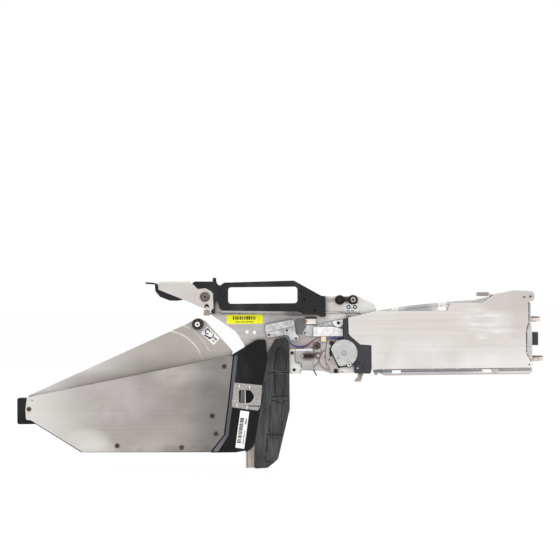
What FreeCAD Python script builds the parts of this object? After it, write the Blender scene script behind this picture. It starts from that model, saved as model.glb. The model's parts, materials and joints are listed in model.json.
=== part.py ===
import FreeCAD, Part
import math
import os
import re

import Sketcher
from FreeCAD import Placement, Rotation, Vector

# Slim tape feeder for 8 mm component tape. X runs along the tape towards the machine, Z is up,
# and Y is the thickness with the cover side at -Y. The origin is on the axis of the lower
# locating pin, at the front face of the head. All sizes are millimetres.

SIZES = {
    # Layers through the thickness, from the cover side to the rear
    "front_y": -9.5, "cover_wall": 1.5, "plate_y": 7.5, "plate_wall": 2.0, "bin_wall": 1.2,
    "lever_gap": 0.5, "fit": 0.05,
    # Head: housing, cover and rail
    "head_rear": -209.0, "head_front": -0.4, "head_bottom": -12.5, "head_wall": 3.0,
    "rail_depth": 7.8, "rail_half": 6.0, "rail_groove": 2.0, "pin_pitch": 51.1, "pin_rad": 3.75,
    "pin_tip_rad": 2.5, "pin_reach_low": 14.4, "pin_reach_high": 11.0, "connector_low": 17.1,
    "connector_tall": 17.0,
    "connector_reach": 7.8, "connector_half": 5.0,
    # Tape drive inside the head
    "sprocket_x": -31.5, "sprocket_z": 62.8, "sprocket_rad": 20.3, "sprocket_teeth": 32,
    "sprocket_thick": 1.6, "sprocket_y": 1.6, "gear_mod": 1.0, "pinion_teeth": 12,
    "idler_teeth": 30, "driven_teeth": 36, "gear_y": 4.4, "gear_wide": 2.4, "axle_rad": 2.0,
    "idler_turn": 35.0, "pinion_turn": 20.0, "mesh_gap": 0.2, "motor_rad": 11.0,
    # Tape window at the nose
    "nose_x": -2.4, "nose_z": 80.4, "nose_rad": 5.5, "nose_pin_rad": 1.5,
    # Handle and release lever
    "grip_left": -394.2, "grip_right": -304.1, "grip_low": 74.8, "grip_high": 96.2,
    "grip_round": 4.0, "lever_x": -424.0, "lever_z": 84.3, "lever_screw_rad": 6.4,
    "lever_pin_rad": 3.0, "rod_y": 5.6, "rod_z": 61.8, "rod_rad": 1.0, "rod_drop_x": -219.2,
    "hook_x": -222.0, "hook_z": -8.0, "hook_pin_rad": 1.8,
    # Guide rollers on the upper lobe and the reel roller on the bin
    "roller_z": 78.5, "roller_rear_x": -248.9, "roller_front_x": -231.8, "roller_rad": 6.2,
    "reel_roller_x": -434.2, "reel_roller_z": 48.7, "reel_roller_rad": 6.9,
    # Peel unit
    "motor_x": -244.6, "motor_z": 9.5, "can_rad": 17.5, "can_deep": 8.8, "rivet_x": -263.3,
    "rivet_z": 0.7, "peel_pinion_teeth": 18, "peel_idler_teeth": 33, "peel_drive_teeth": 34,
    "peel_y": 4.7, "peel_wide": 2.2, "drive_turn": 172.9, "drive_rad": 7.5, "pinch_rad": 4.2,
    "pinch_x": -278.1, "pinch_z": 6.4, "pivot_x": -279.4, "pivot_z": 19.0, "pivot_rad": 2.0,
    "shaft_rad": 1.5, "spring_rad": 2.6, "spring_wire": 0.5, "spring_left": -296.8,
    "spring_pitch": 2.3, "spring_turns": 6, "harness_rad": 1.3,
    # Reel bin, latch and chute
    "latch_wall": 1.0, "chute_wall": 2.6, "panel_deep": 1.4, "slope_x": -345.0,
    "latch_travel": 4.0,
    "screw_rad": 1.4, "screw_head": 2.8, "screw_head_tall": 1.3,
}

doc = FreeCAD.newDocument("TapeFeeder")
sheet = doc.addObject("Spreadsheet::Sheet", "Sizes")
for row, (alias, size) in enumerate(SIZES.items(), 1):
    sheet.set("A%d" % row, alias)
    sheet.set("B%d" % row, str(size))
    sheet.setAlias("B%d" % row, alias)
doc.recompute()

NAME = re.compile(r"[a-z_][a-z0-9_]*")


def bound(rule):
    """The rule as an expression that reads the sheet."""
    return NAME.sub(lambda m: "Sizes." + m[0] if m[0] in SIZES else m[0], str(rule))


def value(rule):
    """The number that a rule gives now."""
    if isinstance(rule, (int, float)):
        return float(rule)
    found = sheet.evalExpression(bound(rule))
    return float(getattr(found, "Value", found))


def origin(body, role):
    return next(item for item in body.Origin.OriginFeatures if item.Role == role)


# Names of the faces through the thickness, as rules
COVER_BACK = "(front_y + cover_wall)"
PLATE_BACK = "(plate_y + plate_wall)"
HANDLE_FRONT = "(front_y + cover_wall + lever_gap)"


def arc(centre, radius, start, end, turn):
    """An arc of a sketch that runs from start to end, counter-clockwise when turn is positive."""
    first = math.atan2(start.y - centre.y, start.x - centre.x)
    last = math.atan2(end.y - centre.y, end.x - centre.x)
    if turn < 0:
        first, last = last, first
    if last <= first:
        last += 2 * math.pi
    return Part.ArcOfCircle(Part.Circle(centre, Vector(0, 0, 1), radius), first, last)


def add_loop(sketch, points, rules):
    """A closed outline of (x, z) or (x, z, round) corners, each bound to its rules."""
    count = len(points)
    corner = [Vector(value(p[0]), value(p[1]), 0) for p in points]
    radius = [value(p[2]) if len(p) > 2 else 0.0 for p in points]
    starts, ends, arcs = [], [], []
    for i, here in enumerate(corner):
        back = (corner[i - 1] - here).normalize()
        onward = (corner[(i + 1) % count] - here).normalize()
        if not radius[i]:
            starts.append(here)
            ends.append(here)
            arcs.append(None)
            continue
        half = back.getAngle(onward) / 2
        reach = radius[i] / math.tan(half)
        starts.append(here + back * reach)
        ends.append(here + onward * reach)
        centre = here + (back + onward).normalize() * (radius[i] / math.sin(half))
        turn = -back.cross(onward).z
        arcs.append((arc(centre, radius[i], starts[i], ends[i], turn), turn))
    lines = []
    for i in range(count):
        span = Part.LineSegment(ends[i], starts[(i + 1) % count])
        lines.append(sketch.addGeometry(span, False))
    for i, rounded in enumerate(arcs):
        before, after = lines[i - 1], lines[i]
        if rounded is None:
            rules.append((Sketcher.Constraint("Coincident", before, 2, after, 1), None))
            anchor = after
        else:
            edge = sketch.addGeometry(rounded[0], False)
            first, last = (1, 2) if rounded[1] > 0 else (2, 1)
            rules.append((Sketcher.Constraint("Tangent", before, 2, edge, first), None))
            rules.append((Sketcher.Constraint("Tangent", edge, last, after, 1), None))
            anchor = sketch.addGeometry(Part.Point(corner[i]), True)
            rules.append((Sketcher.Constraint("PointOnObject", anchor, 1, before), None))
            rules.append((Sketcher.Constraint("PointOnObject", anchor, 1, after), None))
            size = Sketcher.Constraint("Radius", edge, radius[i])
            rules.append((size, points[i][2]))
        for kind, rule in (("DistanceX", points[i][0]), ("DistanceY", points[i][1])):
            place = Sketcher.Constraint(kind, -1, 1, anchor, 1, value(rule))
            rules.append((place, rule))


def add_circle(sketch, spot, rules):
    """A circle (x, z, radius) given as a triple with the word circle first."""
    _, x, z, radius = spot
    centre = Vector(value(x), value(z), 0)
    edge = sketch.addGeometry(Part.Circle(centre, Vector(0, 0, 1), value(radius)), False)
    rules.append((Sketcher.Constraint("DistanceX", -1, 1, edge, 3, centre.x), x))
    rules.append((Sketcher.Constraint("DistanceY", -1, 1, edge, 3, centre.y), z))
    rules.append((Sketcher.Constraint("Radius", edge, value(radius)), radius))


def draw(body, loops, offset, plane="XZ_Plane"):
    """A sketch on one of the body's own planes, offset along that plane's normal."""
    sketch = body.newObject("Sketcher::SketchObject", "Sketch")
    sketch.AttachmentSupport = [(origin(body, plane), "")]
    sketch.MapMode = "FlatFace"
    sketch.setExpression("AttachmentOffset.Base.z", bound(offset))
    rules = []
    for loop in loops:
        if loop[0] == "circle":
            add_circle(sketch, loop, rules)
        else:
            add_loop(sketch, loop, rules)
    first = sketch.ConstraintCount
    sketch.addConstraint([rule[0] for rule in rules])
    for index, (_, rule) in enumerate(rules):
        if rule is not None and not isinstance(rule, (int, float)):
            sketch.setExpression("Constraints[%d]" % (first + index), bound(rule))
    return sketch


def add(body, front, back, *loops):
    """Solid between two Y faces with the outline of the loops."""
    pad = body.newObject("PartDesign::Pad", "Pad")
    pad.Profile = draw(body, loops, "-(%s)" % back)
    pad.setExpression("Length", bound("(%s) - (%s)" % (back, front)))
    return pad


def cut(body, front, back, *loops):
    """Space between two Y faces with the outline of the loops."""
    pocket = body.newObject("PartDesign::Pocket", "Pocket")
    pocket.Profile = draw(body, loops, "-(%s)" % front)
    pocket.setExpression("Length", bound("(%s) - (%s)" % (back, front)))
    doc.recompute()
    before = pocket.BaseFeature.Shape.Volume
    if pocket.Shape.Volume > before - 1e-6:
        raise RuntimeError("%s: a pocket removes nothing" % body.Label)
    return pocket


def new_body(label):
    body = doc.addObject("PartDesign::Body", label)
    body.Label = label
    return body


def plate(label, front, back, *loops):
    body = new_body(label)
    add(body, front, back, *loops)
    return body


def about(x, z, corners):
    """Corners measured from a centre."""
    return [("%s + %s" % (x, corner[0]), "%s + %s" % (z, corner[1])) + corner[2:] for corner in corners]


def circles(spots, radius):
    return [("circle", x, z, radius) for x, z in spots]


def place(item, x, y, z):
    for axis, rule in zip("xyz", (x, y, z)):
        item.setExpression("Placement.Base.%s" % axis, bound(rule))


def turned(label, x, z, profile, axis="Y"):
    """A turned piece: (radius, station) corners spun about an axis along Y or X."""
    body = new_body(label)
    revolution = body.newObject("PartDesign::Revolution", "Revolution")
    corners = profile if axis == "Y" else [(point[1], point[0]) + point[2:] for point in profile]
    sketch = draw(body, [corners], 0, "XY_Plane")
    revolution.Profile = sketch
    revolution.ReferenceAxis = (sketch, ["V_Axis" if axis == "Y" else "H_Axis"])
    revolution.Angle = 360
    place(body, x, 0, z)
    return body


def block(label, low, high):
    box = doc.addObject("Part::Box", label)
    box.Label = label
    for side, first, last in zip(("Length", "Width", "Height"), low, high):
        box.setExpression(side, bound("(%s) - (%s)" % (last, first)))
    place(box, *low)
    return box


def cylinder(x, z, radius, front, back):
    """A plain cylinder along Y between two faces."""
    item = doc.addObject("Part::Cylinder", "Cylinder")
    item.setExpression("Radius", bound(radius))
    item.setExpression("Height", bound("(%s) - (%s)" % (back, front)))
    item.Placement = Placement(Vector(0, 0, 0), Rotation(Vector(1, 0, 0), -90))
    place(item, x, front, z)
    return item


def screw(x, z, seat, depth, facing, head="screw_head", shank="screw_rad", tall="screw_head_tall"):
    """A socket screw whose head rests on the seat face; facing is -1 or 1 along Y."""
    outer = "(%s) + (%s) * %d" % (seat, tall, facing)
    inner = "(%s) - (%s) * %d" % (seat, depth, facing)
    ends = ((outer, seat), (seat, inner)) if facing < 0 else ((seat, outer), (inner, seat))
    item = doc.addObject("Part::MultiFuse", "ScrewBlank")
    item.Shapes = [cylinder(x, z, head, *ends[0]), cylinder(x, z, shank, *ends[1])]
    socket = doc.addObject("Part::Prism", "Socket")
    socket.Polygon = 6
    socket.setExpression("Circumradius", bound("(%s) * 0.5" % head))
    socket.setExpression("Height", bound("(%s) * 0.6" % tall))
    socket.Placement = Placement(Vector(0, 0, 0), Rotation(Vector(1, 0, 0), -90))
    floor = "(%s) + (%s) * 0.4" % (seat, tall) if facing > 0 else outer
    place(socket, x, floor, z)
    result = doc.addObject("Part::Cut", "Screw")
    result.Base = item
    result.Tool = socket
    return result


def group(label, items):
    compound = doc.addObject("Part::Compound", label)
    compound.Label = label
    compound.Links = items
    return compound


def route(points, section_radius, largest=None):
    """A tube of straight runs joined by tangent arcs along points, and its length.

    Each arc is as large as 0.45 of the shorter run beside it allows, or the largest given.
    """
    path = [Vector(*point) for point in points]
    pieces = []
    start = path[0]
    length = 0.0
    for before, here, after in zip(path, path[1:], path[2:]):
        back = before - here
        onward = after - here
        turn = math.pi - back.getAngle(onward)
        radius = 0.45 * min(back.Length, onward.Length) / math.tan(turn / 2)
        radius = min(radius, largest or radius)
        reach = radius * math.tan(turn / 2)
        back.normalize()
        onward.normalize()
        enter = here + back * reach
        leave = here + onward * reach
        centre = here + (back + onward).normalize() * (radius / math.cos(turn / 2))
        run = enter - start
        pieces.append(Part.makeCylinder(section_radius, run.Length, start, run))
        section = Part.Face(Part.Wire(Part.makeCircle(section_radius, enter, run)))
        axis = back.cross(onward)
        pieces.append(section.revolve(centre, -axis, math.degrees(turn)))
        length += run.Length + radius * turn
        start = leave
        print("bend radius %.1f mm" % radius)
    run = path[-1] - start
    pieces.append(Part.makeCylinder(section_radius, run.Length, start, run))
    return pieces[0].fuse(pieces[1:]), length + run.Length


def feature(label, shape):
    item = doc.addObject("Part::Feature", label)
    item.Label = label
    item.Shape = shape
    item.Placement = Placement()
    return item


def gear(label, x, z, teeth, module, front, width, bore, phase, hub=None):
    """A spur gear: a blank with one tooth repeated round the Y axis."""
    body = new_body(label)
    root = "(%s) * ((%s) - 2.4) / 2" % (module, teeth)
    tip = "(%s) * ((%s) + 1.8) / 2" % (module, teeth)
    back = "(%s) + (%s)" % (front, width)
    add(body, front, back, ("circle", 0, 0, root), ("circle", 0, 0, bore))
    foot = "(%s) * 0.82" % module
    crown = "(%s) * 0.30" % module
    tooth = add(body, front, back, [
        ("(%s) - 0.3" % root, "-(%s)" % foot), (tip, "-(%s)" % crown),
        (tip, crown), ("(%s) - 0.3" % root, foot)])
    ring = body.newObject("PartDesign::PolarPattern", "Teeth")
    ring.Originals = [tooth]
    ring.Axis = (origin(body, "Y_Axis"), [""])
    ring.Angle = 360
    ring.setExpression("Occurrences", bound(teeth))
    body.Tip = ring
    if hub:
        add(body, hub[1], hub[2], ("circle", 0, 0, hub[0]), ("circle", 0, 0, bore))
    body.Placement = Placement(Vector(0, 0, 0), Rotation(Vector(0, 1, 0), phase))
    place(body, x, 0, z)
    return body


def mesh_phase(direction, phase, teeth, next_teeth):
    """Turn of the next gear so that its gaps face the teeth of the gear before it."""
    pitch = 360 / value(teeth)
    next_pitch = 360 / value(next_teeth)
    offset = (-phase - direction) % pitch
    return -(direction + 180 - offset * next_pitch / pitch + next_pitch / 2)


# Head: main plate, housing, cover and rail

handle_spots = [(-400.0, 67.8), (-350.0, 67.0), (-310.0, 66.8), (-288.0, 66.8)]
rear_spots = [(-195, 50), (-195, 0), (-120, 0), (-120, 55), (-60, 0), (-12, 8)]
bin_spots = [(-370.3, 5), (-352, 18), (-335, 5)]
nose_lobe = [
    (-5.3, 87.8, 2), ("nose_x + nose_rad", "nose_z + 6.0", 4.5),
    ("nose_x + nose_rad", "nose_z - 5.6", 4.5)]
plate("main_plate", "plate_y", PLATE_BACK, [
    (-417.0, 61.0), (-384.4, 38.1, 12), (-373.6, 19.9), (-381.0, -20.0), (-381.0, -60.0, 8),
    (-319.0, -60.0, 8), ("-319.0", -17.4), (-300.5, -17.4, 3), (-299.5, -13.0),
    (-272.0, -14.0), (-262.0, -17.5), ("head_rear", -17.5), ("head_rear", "head_bottom"),
    ("head_front", "head_bottom"), ("head_front", 34), ("head_front - 1.4", 46.0),
    ("head_front - 0.8", "nose_z - 6.2"), *nose_lobe[::-1], (-23.1, 88.5), (-51.1, 82.8),
    (-64.2, 73.1), (-106.0, 73.1), (-109.8, 63.3), (-200.8, 63.3), (-203.5, 72.5, 7),
    (-226.3, 83.0, 8), (-268.0, 83.0), (-268.0, 70.0), (-404.4, 70.0), (-404.4, 79.6),
    (-416.0, 79.6), (-416.0, 64.0)],
    *circles([(-370.3, 37.8), (-360.6, 36.9)], 2.2),
    *circles(rear_spots + bin_spots + handle_spots, "screw_rad + fit"),
    ("circle", "nose_x", "nose_z", "nose_pin_rad + fit"),
    ("circle", "sprocket_x", "sprocket_z", "axle_rad + fit"),
    ("circle", "roller_rear_x", "roller_z", "shaft_rad + fit"),
    ("circle", "roller_front_x", "roller_z", "shaft_rad + fit"),
    ("circle", "hook_x", "hook_z", "hook_pin_rad"))

idler_x = "(sprocket_x - (gear_mod * (driven_teeth + idler_teeth) / 2 + mesh_gap) * cos(idler_turn))"
idler_z = "(sprocket_z - (gear_mod * (driven_teeth + idler_teeth) / 2 + mesh_gap) * sin(idler_turn))"
pinion_x = "(%s - (gear_mod * (idler_teeth + pinion_teeth) / 2 + mesh_gap) * cos(pinion_turn))" % idler_x
pinion_z = "(%s - (gear_mod * (idler_teeth + pinion_teeth) / 2 + mesh_gap) * sin(pinion_turn))" % idler_z

head_top = [(-201.5, 61.0), (-110.0, 70.4), (-80.0, 72.9), (-56.0, 77.5)]
head_housing = plate("head_housing", COVER_BACK, "plate_y", [
    ("head_rear", "head_bottom"), ("head_front", "head_bottom"), ("head_front", 34.0),
    ("head_front - 1.4", 46.0), ("head_front - 1.4", 72.0), (-9.6, 72.0), (-52.0, 77.9),
    *head_top[::-1], ("head_rear", 61.0)])
cut(head_housing, "front_y", PLATE_BACK, [
    ("head_rear + head_wall", "head_bottom + head_wall"), (-9.0, "head_bottom + head_wall"),
    (-9.0, 66.0), (-52.0, "77.9 - head_wall"), (-80.0, "72.9 - head_wall"),
    (-110.0, "70.4 - head_wall - 2"), ("head_rear + head_wall", 57.5)])
cut(head_housing, "front_y", PLATE_BACK, [
    ("sprocket_x - 24", 64.0), ("sprocket_x + 22.2", 64.0), ("sprocket_x + 22.2", 90.0),
    ("sprocket_x - 24", 90.0)])
for x, z in rear_spots:
    add(head_housing, COVER_BACK, "plate_y", ("circle", x, z, "screw_rad + 2.4"),
        ("circle", x, z, "screw_rad"))

plate("head_side_cover", "front_y", COVER_BACK, [
    ("head_rear", "head_bottom"), ("head_rear", 19.4), (-223.4, 20.4, 3), (-236.0, 31.4, 3),
    (-238.2, 35.0), (-238.6, 55.4), (-201.5, 63.5, 14), (-109.8, 63.3), (-106.0, 73.1),
    (-64.2, 73.1), (-48.0, 84.5, 8), (-21.0, 88.7, 8), *nose_lobe,
    (-3.2, "nose_z - 6.2"), (-3.4, 47.4), (-6.8, 36.2), (-7.1, 7.4, 3), (-0.8, -3.6),
    (-0.8, "head_bottom")],
    ("circle", "nose_x", "nose_z", "nose_pin_rad + fit"))

base_rail = plate("base_rail", "-rail_half", "rail_half", [
    (-206.6, "head_bottom"), (-0.4, "head_bottom"), (-0.4, "head_bottom - rail_depth + 2.5"),
    (-4.5, "head_bottom - rail_depth"), (-191.6, "head_bottom - rail_depth"),
    (-200.0, "head_bottom - 4"), (-206.6, "head_bottom - 2.4")])
add(base_rail, "-rail_half", "rail_half", [
    (-206.6, "head_bottom"), (-197.5, "head_bottom"), (-197.5, "head_bottom - 4.2"),
    (-200.8, "head_bottom - 4.4"), (-201.4, "head_bottom - 7.0"), (-205.0, "head_bottom - 7.0"),
    (-205.4, "head_bottom - 4.2"), (-206.6, "head_bottom - 3.8")])
for face in ("-rail_half - 1", "rail_half - rail_groove"):
    cut(base_rail, face, "%s + rail_groove + 1" % face, [
        (-208.0, "head_bottom - 0.6"), (1.0, "head_bottom - 0.6"), (1.0, "head_bottom - 3.2"),
        (-208.0, "head_bottom - 3.2")])
for left, right in ((-182.2, -170.5), (-65.1, -50.9)):
    cut(base_rail, "-rail_half - 1", "rail_half + 1", [
        (left, "head_bottom - 1.2"), (right, "head_bottom - 1.2"), (right, "head_bottom - 5.4"),
        (left, "head_bottom - 5.4")])

group("locating_pins", [
    turned("LocatingPin", 0, z, [
        (0, root), ("pin_rad", root), ("pin_rad", "%s - 5" % reach),
        ("pin_tip_rad + 0.6", "%s - 1.2" % reach, 1.0), ("pin_tip_rad", reach), (0, reach)], "X")
    for z, root, reach in ((0, "head_front", "pin_reach_low"),
                           ("pin_pitch", "head_front - 1.4", "pin_reach_high"))])
connector = plate("ConnectorShell", "-connector_half", "connector_half", [
    ("head_front", "connector_low"), ("connector_reach", "connector_low", 0.8),
    ("connector_reach", "connector_low + connector_tall", 0.8),
    ("head_front", "connector_low + connector_tall")])
window = connector.newObject("PartDesign::Pocket", "Socket")
window.Profile = draw(connector, [[
    ("-connector_half + 1.4", "connector_low + 1.6"),
    ("connector_half - 1.4", "connector_low + 1.6"),
    ("connector_half - 1.4", "connector_low + connector_tall - 1.6"),
    ("-connector_half + 1.4", "connector_low + connector_tall - 1.6")]],
    "connector_reach", "YZ_Plane")
window.Length = 5
contacts = []
for row in range(6):
    for y in (-1.6, 0.9):
        pin = block("Contact", (2.5, y, "connector_low + 2.9 + %.1f" % (row * 2.1)),
                    ("connector_reach - 1", y + 0.7, "connector_low + 3.6 + %.1f" % (row * 2.1)))
        contacts.append(pin)
group("front_connector", [connector] + contacts)

# Tape track, window and drive

tape_track = plate("TrackRail", "-6.5", "6.5", [
    *head_top, (-52.2, 78.1), (-52.2, 80.8), (-72.0, 77.0), (-110.0, 74.5), (-152.0, 70.6),
    (-184.0, 66.8), (-202.1, 63.4)])
cut(tape_track, "-4.2", "4.2", [
    (-204.0, 62.6), (-110.0, 72.2), (-80.0, 74.6), (-52.0, 79.6), (-50, 84), (-110, 80),
    (-204, 70)])
for left, low in ((-181.3, 61.2), (-122.7, 67.2)):
    right = "%s + 11.7" % left
    cut(head_housing, "front_y", PLATE_BACK, [
        (left, low), (right, "%s + 1.1" % low), (right, "%s - 3.5" % low),
        (left, "%s - 3.5" % low)])

pick_bed = plate("PickBed", "-6.5", "plate_y", [
    (-52.2, 78.3), (-50.4, 78.3), (-47.0, 82.6), (-13.0, 83.6), (-13.0, 79.0), (-9.4, 72.0),
    (-7.4, 72.0), (-10.0, 79.0), (-10.0, 84.8), (-25.0, 84.8), (-52.2, 81.3)])
cut(pick_bed, "sprocket_y - 0.5", "sprocket_y + sprocket_thick + 0.5", [
    ("sprocket_x - 14", 71.0), ("sprocket_x + 22.2", 71.0), ("sprocket_x + 22.2", 90.0),
    ("sprocket_x - 14", 90.0)])

group("tape_track", [tape_track, pick_bed])

tape_window = plate("tape_window", "-7.3", "6.9", [
    (-71.2, 81.6, 0.5), (-59.5, 81.3), (-50.5, 82.4), (-24.0, 85.6), ("nose_x - 5.2", 85.4),
    ("nose_x - 5.2", "nose_z"), ("nose_x", "nose_z - 5.2", 5.0), ("nose_x + 5.2", "nose_z", 5.0),
    ("nose_x + 5.2", 86.6, 3.0), (-24.0, 86.6), (-52.4, 83.7), (-56.4, 86.6), (-71.2, 86.5, 0.5)],
    ("circle", "nose_x", "nose_z", "nose_pin_rad + fit"))
cut(tape_window, "-4.6", "3.9", [
    ("nose_x - 9", 74.0), ("nose_x + 8", 74.0), ("nose_x + 8", 85.2), ("nose_x - 9", 85.2)])
aperture = tape_window.newObject("PartDesign::Pocket", "Aperture")
aperture.Profile = draw(tape_window, [[
    (-38.0, -3.0), (-14.0, -3.0), (-14.0, 1.2), (-38.0, 1.2)]], 90, "XY_Plane")
aperture.Length = 12
turned("nose_pin", "nose_x", "nose_z", [
    (0, "front_y - 0.4"), ("nose_pin_rad + 1.0", "front_y - 0.4"), ("nose_pin_rad + 1.0", "front_y"),
    ("nose_pin_rad", "front_y"), ("nose_pin_rad", PLATE_BACK), (0, PLATE_BACK)])

gear_back = "(gear_y + gear_wide)"
pinion_to_idler = value("pinion_turn")
idler_to_sprocket = value("idler_turn")
phase_pinion = -pinion_to_idler
phase_idler = mesh_phase(pinion_to_idler, phase_pinion, "pinion_teeth", "idler_teeth")
phase_driven = mesh_phase(idler_to_sprocket, phase_idler, "idler_teeth", "driven_teeth")
pinion = gear("DrivePinion", pinion_x, pinion_z, "pinion_teeth", "gear_mod", "gear_y", "gear_wide",
     "axle_rad - 0.5", phase_pinion)
gear("idler_gear", idler_x, idler_z, "idler_teeth", "gear_mod", "gear_y", "gear_wide",
     "axle_rad + fit", phase_idler, ("axle_rad + 2", "gear_y - 1", "gear_y"))
driven = gear("DrivenGear", "sprocket_x", "sprocket_z", "driven_teeth", "gear_mod", "gear_y",
     "gear_wide", "axle_rad", phase_driven)
sprocket = new_body("SprocketWheel")
sprocket_back = "sprocket_y + sprocket_thick"
add(sprocket, "sprocket_y", sprocket_back, ("circle", 0, 0, "sprocket_rad"),
    ("circle", 0, 0, "axle_rad"), *[
    ("circle", "12 * cos(%d)" % angle, "12 * sin(%d)" % angle, 3.4) for angle in range(0, 360, 60)])
tooth = add(sprocket, "sprocket_y + 0.2", sprocket_back + " - 0.2", [
    ("sprocket_rad - 0.4", -0.75), ("sprocket_rad + 1.1", -0.35), ("sprocket_rad + 1.1", 0.35),
    ("sprocket_rad - 0.4", 0.75)])
ring = sprocket.newObject("PartDesign::PolarPattern", "Teeth")
ring.Originals = [tooth]
ring.Axis = (origin(sprocket, "Y_Axis"), [""])
ring.Angle = 360
ring.setExpression("Occurrences", bound("sprocket_teeth"))
sprocket.Tip = ring
place(sprocket, "sprocket_x", 0, "sprocket_z")
shaft = turned("SprocketShaft", "sprocket_x", "sprocket_z", [
    (0, -7.4), ("axle_rad", -7.4), ("axle_rad", "-1.5"), ("axle_rad + 2.5", "-1.5"),
    ("axle_rad + 2.5", "sprocket_y"), ("axle_rad", "sprocket_y"), ("axle_rad", "%s - 0.4" % PLATE_BACK),
    (0, "%s - 0.4" % PLATE_BACK)])
group("drive_sprocket", [sprocket, driven, shaft])
idler_axle = turned("IdlerAxle", idler_x, idler_z, [
    (0, "gear_y - 2.2"), ("axle_rad + 1.5", "gear_y - 2.2"), ("axle_rad + 1.5", "gear_y - 1.2"),
    ("axle_rad", "gear_y - 1.2"), ("axle_rad", "plate_y"), (0, "plate_y")])
motor = turned("IndexMotor", pinion_x, pinion_z, [
    (0, -7.6), ("motor_rad", -7.6, 0.8), ("motor_rad", 2.6), (4.0, 2.6), (4.0, 3.2), (1.8, 3.2),
    ("axle_rad - 0.5 - fit", 3.2), ("axle_rad - 0.5 - fit", "gear_y - 0.1"), (0, "gear_y - 0.1")])
pinion_shaft = turned("PinionShaft", pinion_x, pinion_z, [
    (0, "gear_y - 0.1"), ("axle_rad - 0.5", "gear_y - 0.1"), ("axle_rad - 0.5", gear_back + " + 0.3"),
    (0, gear_back + " + 0.3")])
group("drive_pinion", [pinion, pinion_shaft])
motor_clamp = plate("MotorClamp", 2.6, 3.4, [
    ("%s - 14" % pinion_x, "%s - 14" % pinion_z, 3), ("%s + 8" % pinion_x, "%s - 14" % pinion_z, 3),
    ("%s + 8" % pinion_x, "%s + 13" % pinion_z, 3), ("%s - 14" % pinion_x, "%s + 13" % pinion_z, 3)],
    ("circle", pinion_x, pinion_z, 4.1))
add(motor_clamp, 3.4, "plate_y", ("circle", "%s - 10.5" % pinion_x, "%s - 10.5" % pinion_z, 2.2),
    ("circle", "%s - 10.5" % pinion_x, "%s + 9.5" % pinion_z, 2.2))
group("index_motor", [motor, motor_clamp])
control_board = plate("control_board", 3.2, 4.8, [
    (-188, 10), (-128, 10), (-128, 46), (-188, 46)])
add(control_board, -1.0, 3.2, [(-180, 18), (-164, 18), (-164, 34), (-180, 34)],
    [(-156, 14), (-146, 14), (-146, 26), (-156, 26)])
add(control_board, 4.8, "plate_y", *circles([(-184, 14), (-132, 14), (-132, 42), (-184, 42)], 2.0))

# Handle and release lever

handle = plate("HandleGrip", HANDLE_FRONT, "plate_y", [
    (-441.0, 101.9), (-433.2, 94.5), (-421.5, 94.5), (-413.0, 88.0), (-412.5, 79.2),
    (-407.4, 79.2), (-405.4, 67.0, 6), (-299.5, 64.6), (-299.2, 60.6, 2), (-278.8, 59.6),
    (-274.1, 56.8), (-267.7, 56.8, 2), (-268.0, 83.6), (-273.0, 84.1), (-308.5, 104.2, 4),
    (-352.5, 103.4), (-399.1, 102.5, 2), (-405.1, 98.0, 3), (-408.9, 102.0), (-410.0, 109.0, 1),
    (-413.6, 109.0, 1), (-414.0, 104.1), (-437.0, 104.3)],
    [("grip_left", "grip_low", "grip_round"), ("grip_right", "grip_low", "grip_round"),
     ("grip_right", "grip_high", "grip_round"), ("grip_left", "grip_high", "grip_round")])
cut(handle, "rod_y - rod_rad - 0.5", "plate_y + 1", [
    (-301.0, "rod_z - rod_rad - 0.6"), (-266.0, "rod_z - rod_rad - 0.6"),
    (-266.0, "rod_z + rod_rad + 0.6"), (-301.0, "rod_z + rod_rad + 0.6")])
cut(handle, HANDLE_FRONT, HANDLE_FRONT + " + 4", *circles(
    [(-295.1, 79.7), (-281.2, 65.3), (-299.5, 90.4)], 1.3))
cut(handle, "plate_y - 5", "plate_y + 1", *circles(handle_spots, "screw_rad"))

plate("release_lever", "front_y", COVER_BACK, [
    (-487.5, 102.9), (-484.4, 100.2), (-484.2, 94.2), (-441.2, 76.4), (-417.4, 65.3, 2), (-413.0, 69.2, 3),
    (-413.6, 90.5, 8), (-423.0, 95.3, 4), (-433.2, 94.5), (-441.0, 102.4)],
    ("circle", "lever_x", "lever_z", "lever_pin_rad + fit"))
lever_grip = plate("lever_grip", COVER_BACK, 4.0, [
    (-489.0, 102.4, 1), (-488.4, 92.5, 5), (-482.4, 84.9, 5), (-469.5, 79.8, 5), (-460.0, 79.5),
    (-450.2, 81.0), (-453.0, 84.0), (-468.0, 90.0), (-480.0, 95.0), (-485.0, 98.5),
    (-485.4, 102.4, 1)])
add(lever_grip, -6.0, 2.0, [
    (-501.1, 101.9), (-488.0, 100.8), (-488.0, 102.0), (-490.6, 103.3), (-501.1, 104.1)])
plate("lever_link", COVER_BACK, "rod_y - rod_rad - 0.4", [
    (-425.8, 67.4), (-425.8, 59.9, 1), (-418.0, 59.9, 1), (-418.0, 67.4)])
pivot_back = HANDLE_FRONT + " + 3"
turned("lever_pivot", "lever_x", "lever_z", [
    (0, "front_y - 1.2"), (2.0, "front_y - 1.2"), (2.0, "front_y - 0.6"),
    ("lever_screw_rad", "front_y - 1.2"), ("lever_screw_rad", "front_y - 0.1"),
    ("lever_pin_rad", "front_y - 0.1"), ("lever_pin_rad", pivot_back), (0, pivot_back)])
lever_boss = plate("LeverBoss", COVER_BACK + " + 0.2", "plate_y", [
    ("lever_x - 6", "lever_z - 7", 4), (-416.4, 70.0), (-416.4, "rod_z + rod_rad + 0.6"),
    (-412.2, "rod_z + rod_rad + 0.6"), (-412.2, 66.0), (-411.8, 78.8), (-412.9, 78.8),
    (-413.4, 87.4), (-421.8, 94.1), ("lever_x - 6", 94.1)],
    ("circle", "lever_x", "lever_z", "lever_pin_rad"))

group("carry_handle", [handle, lever_boss])

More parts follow.
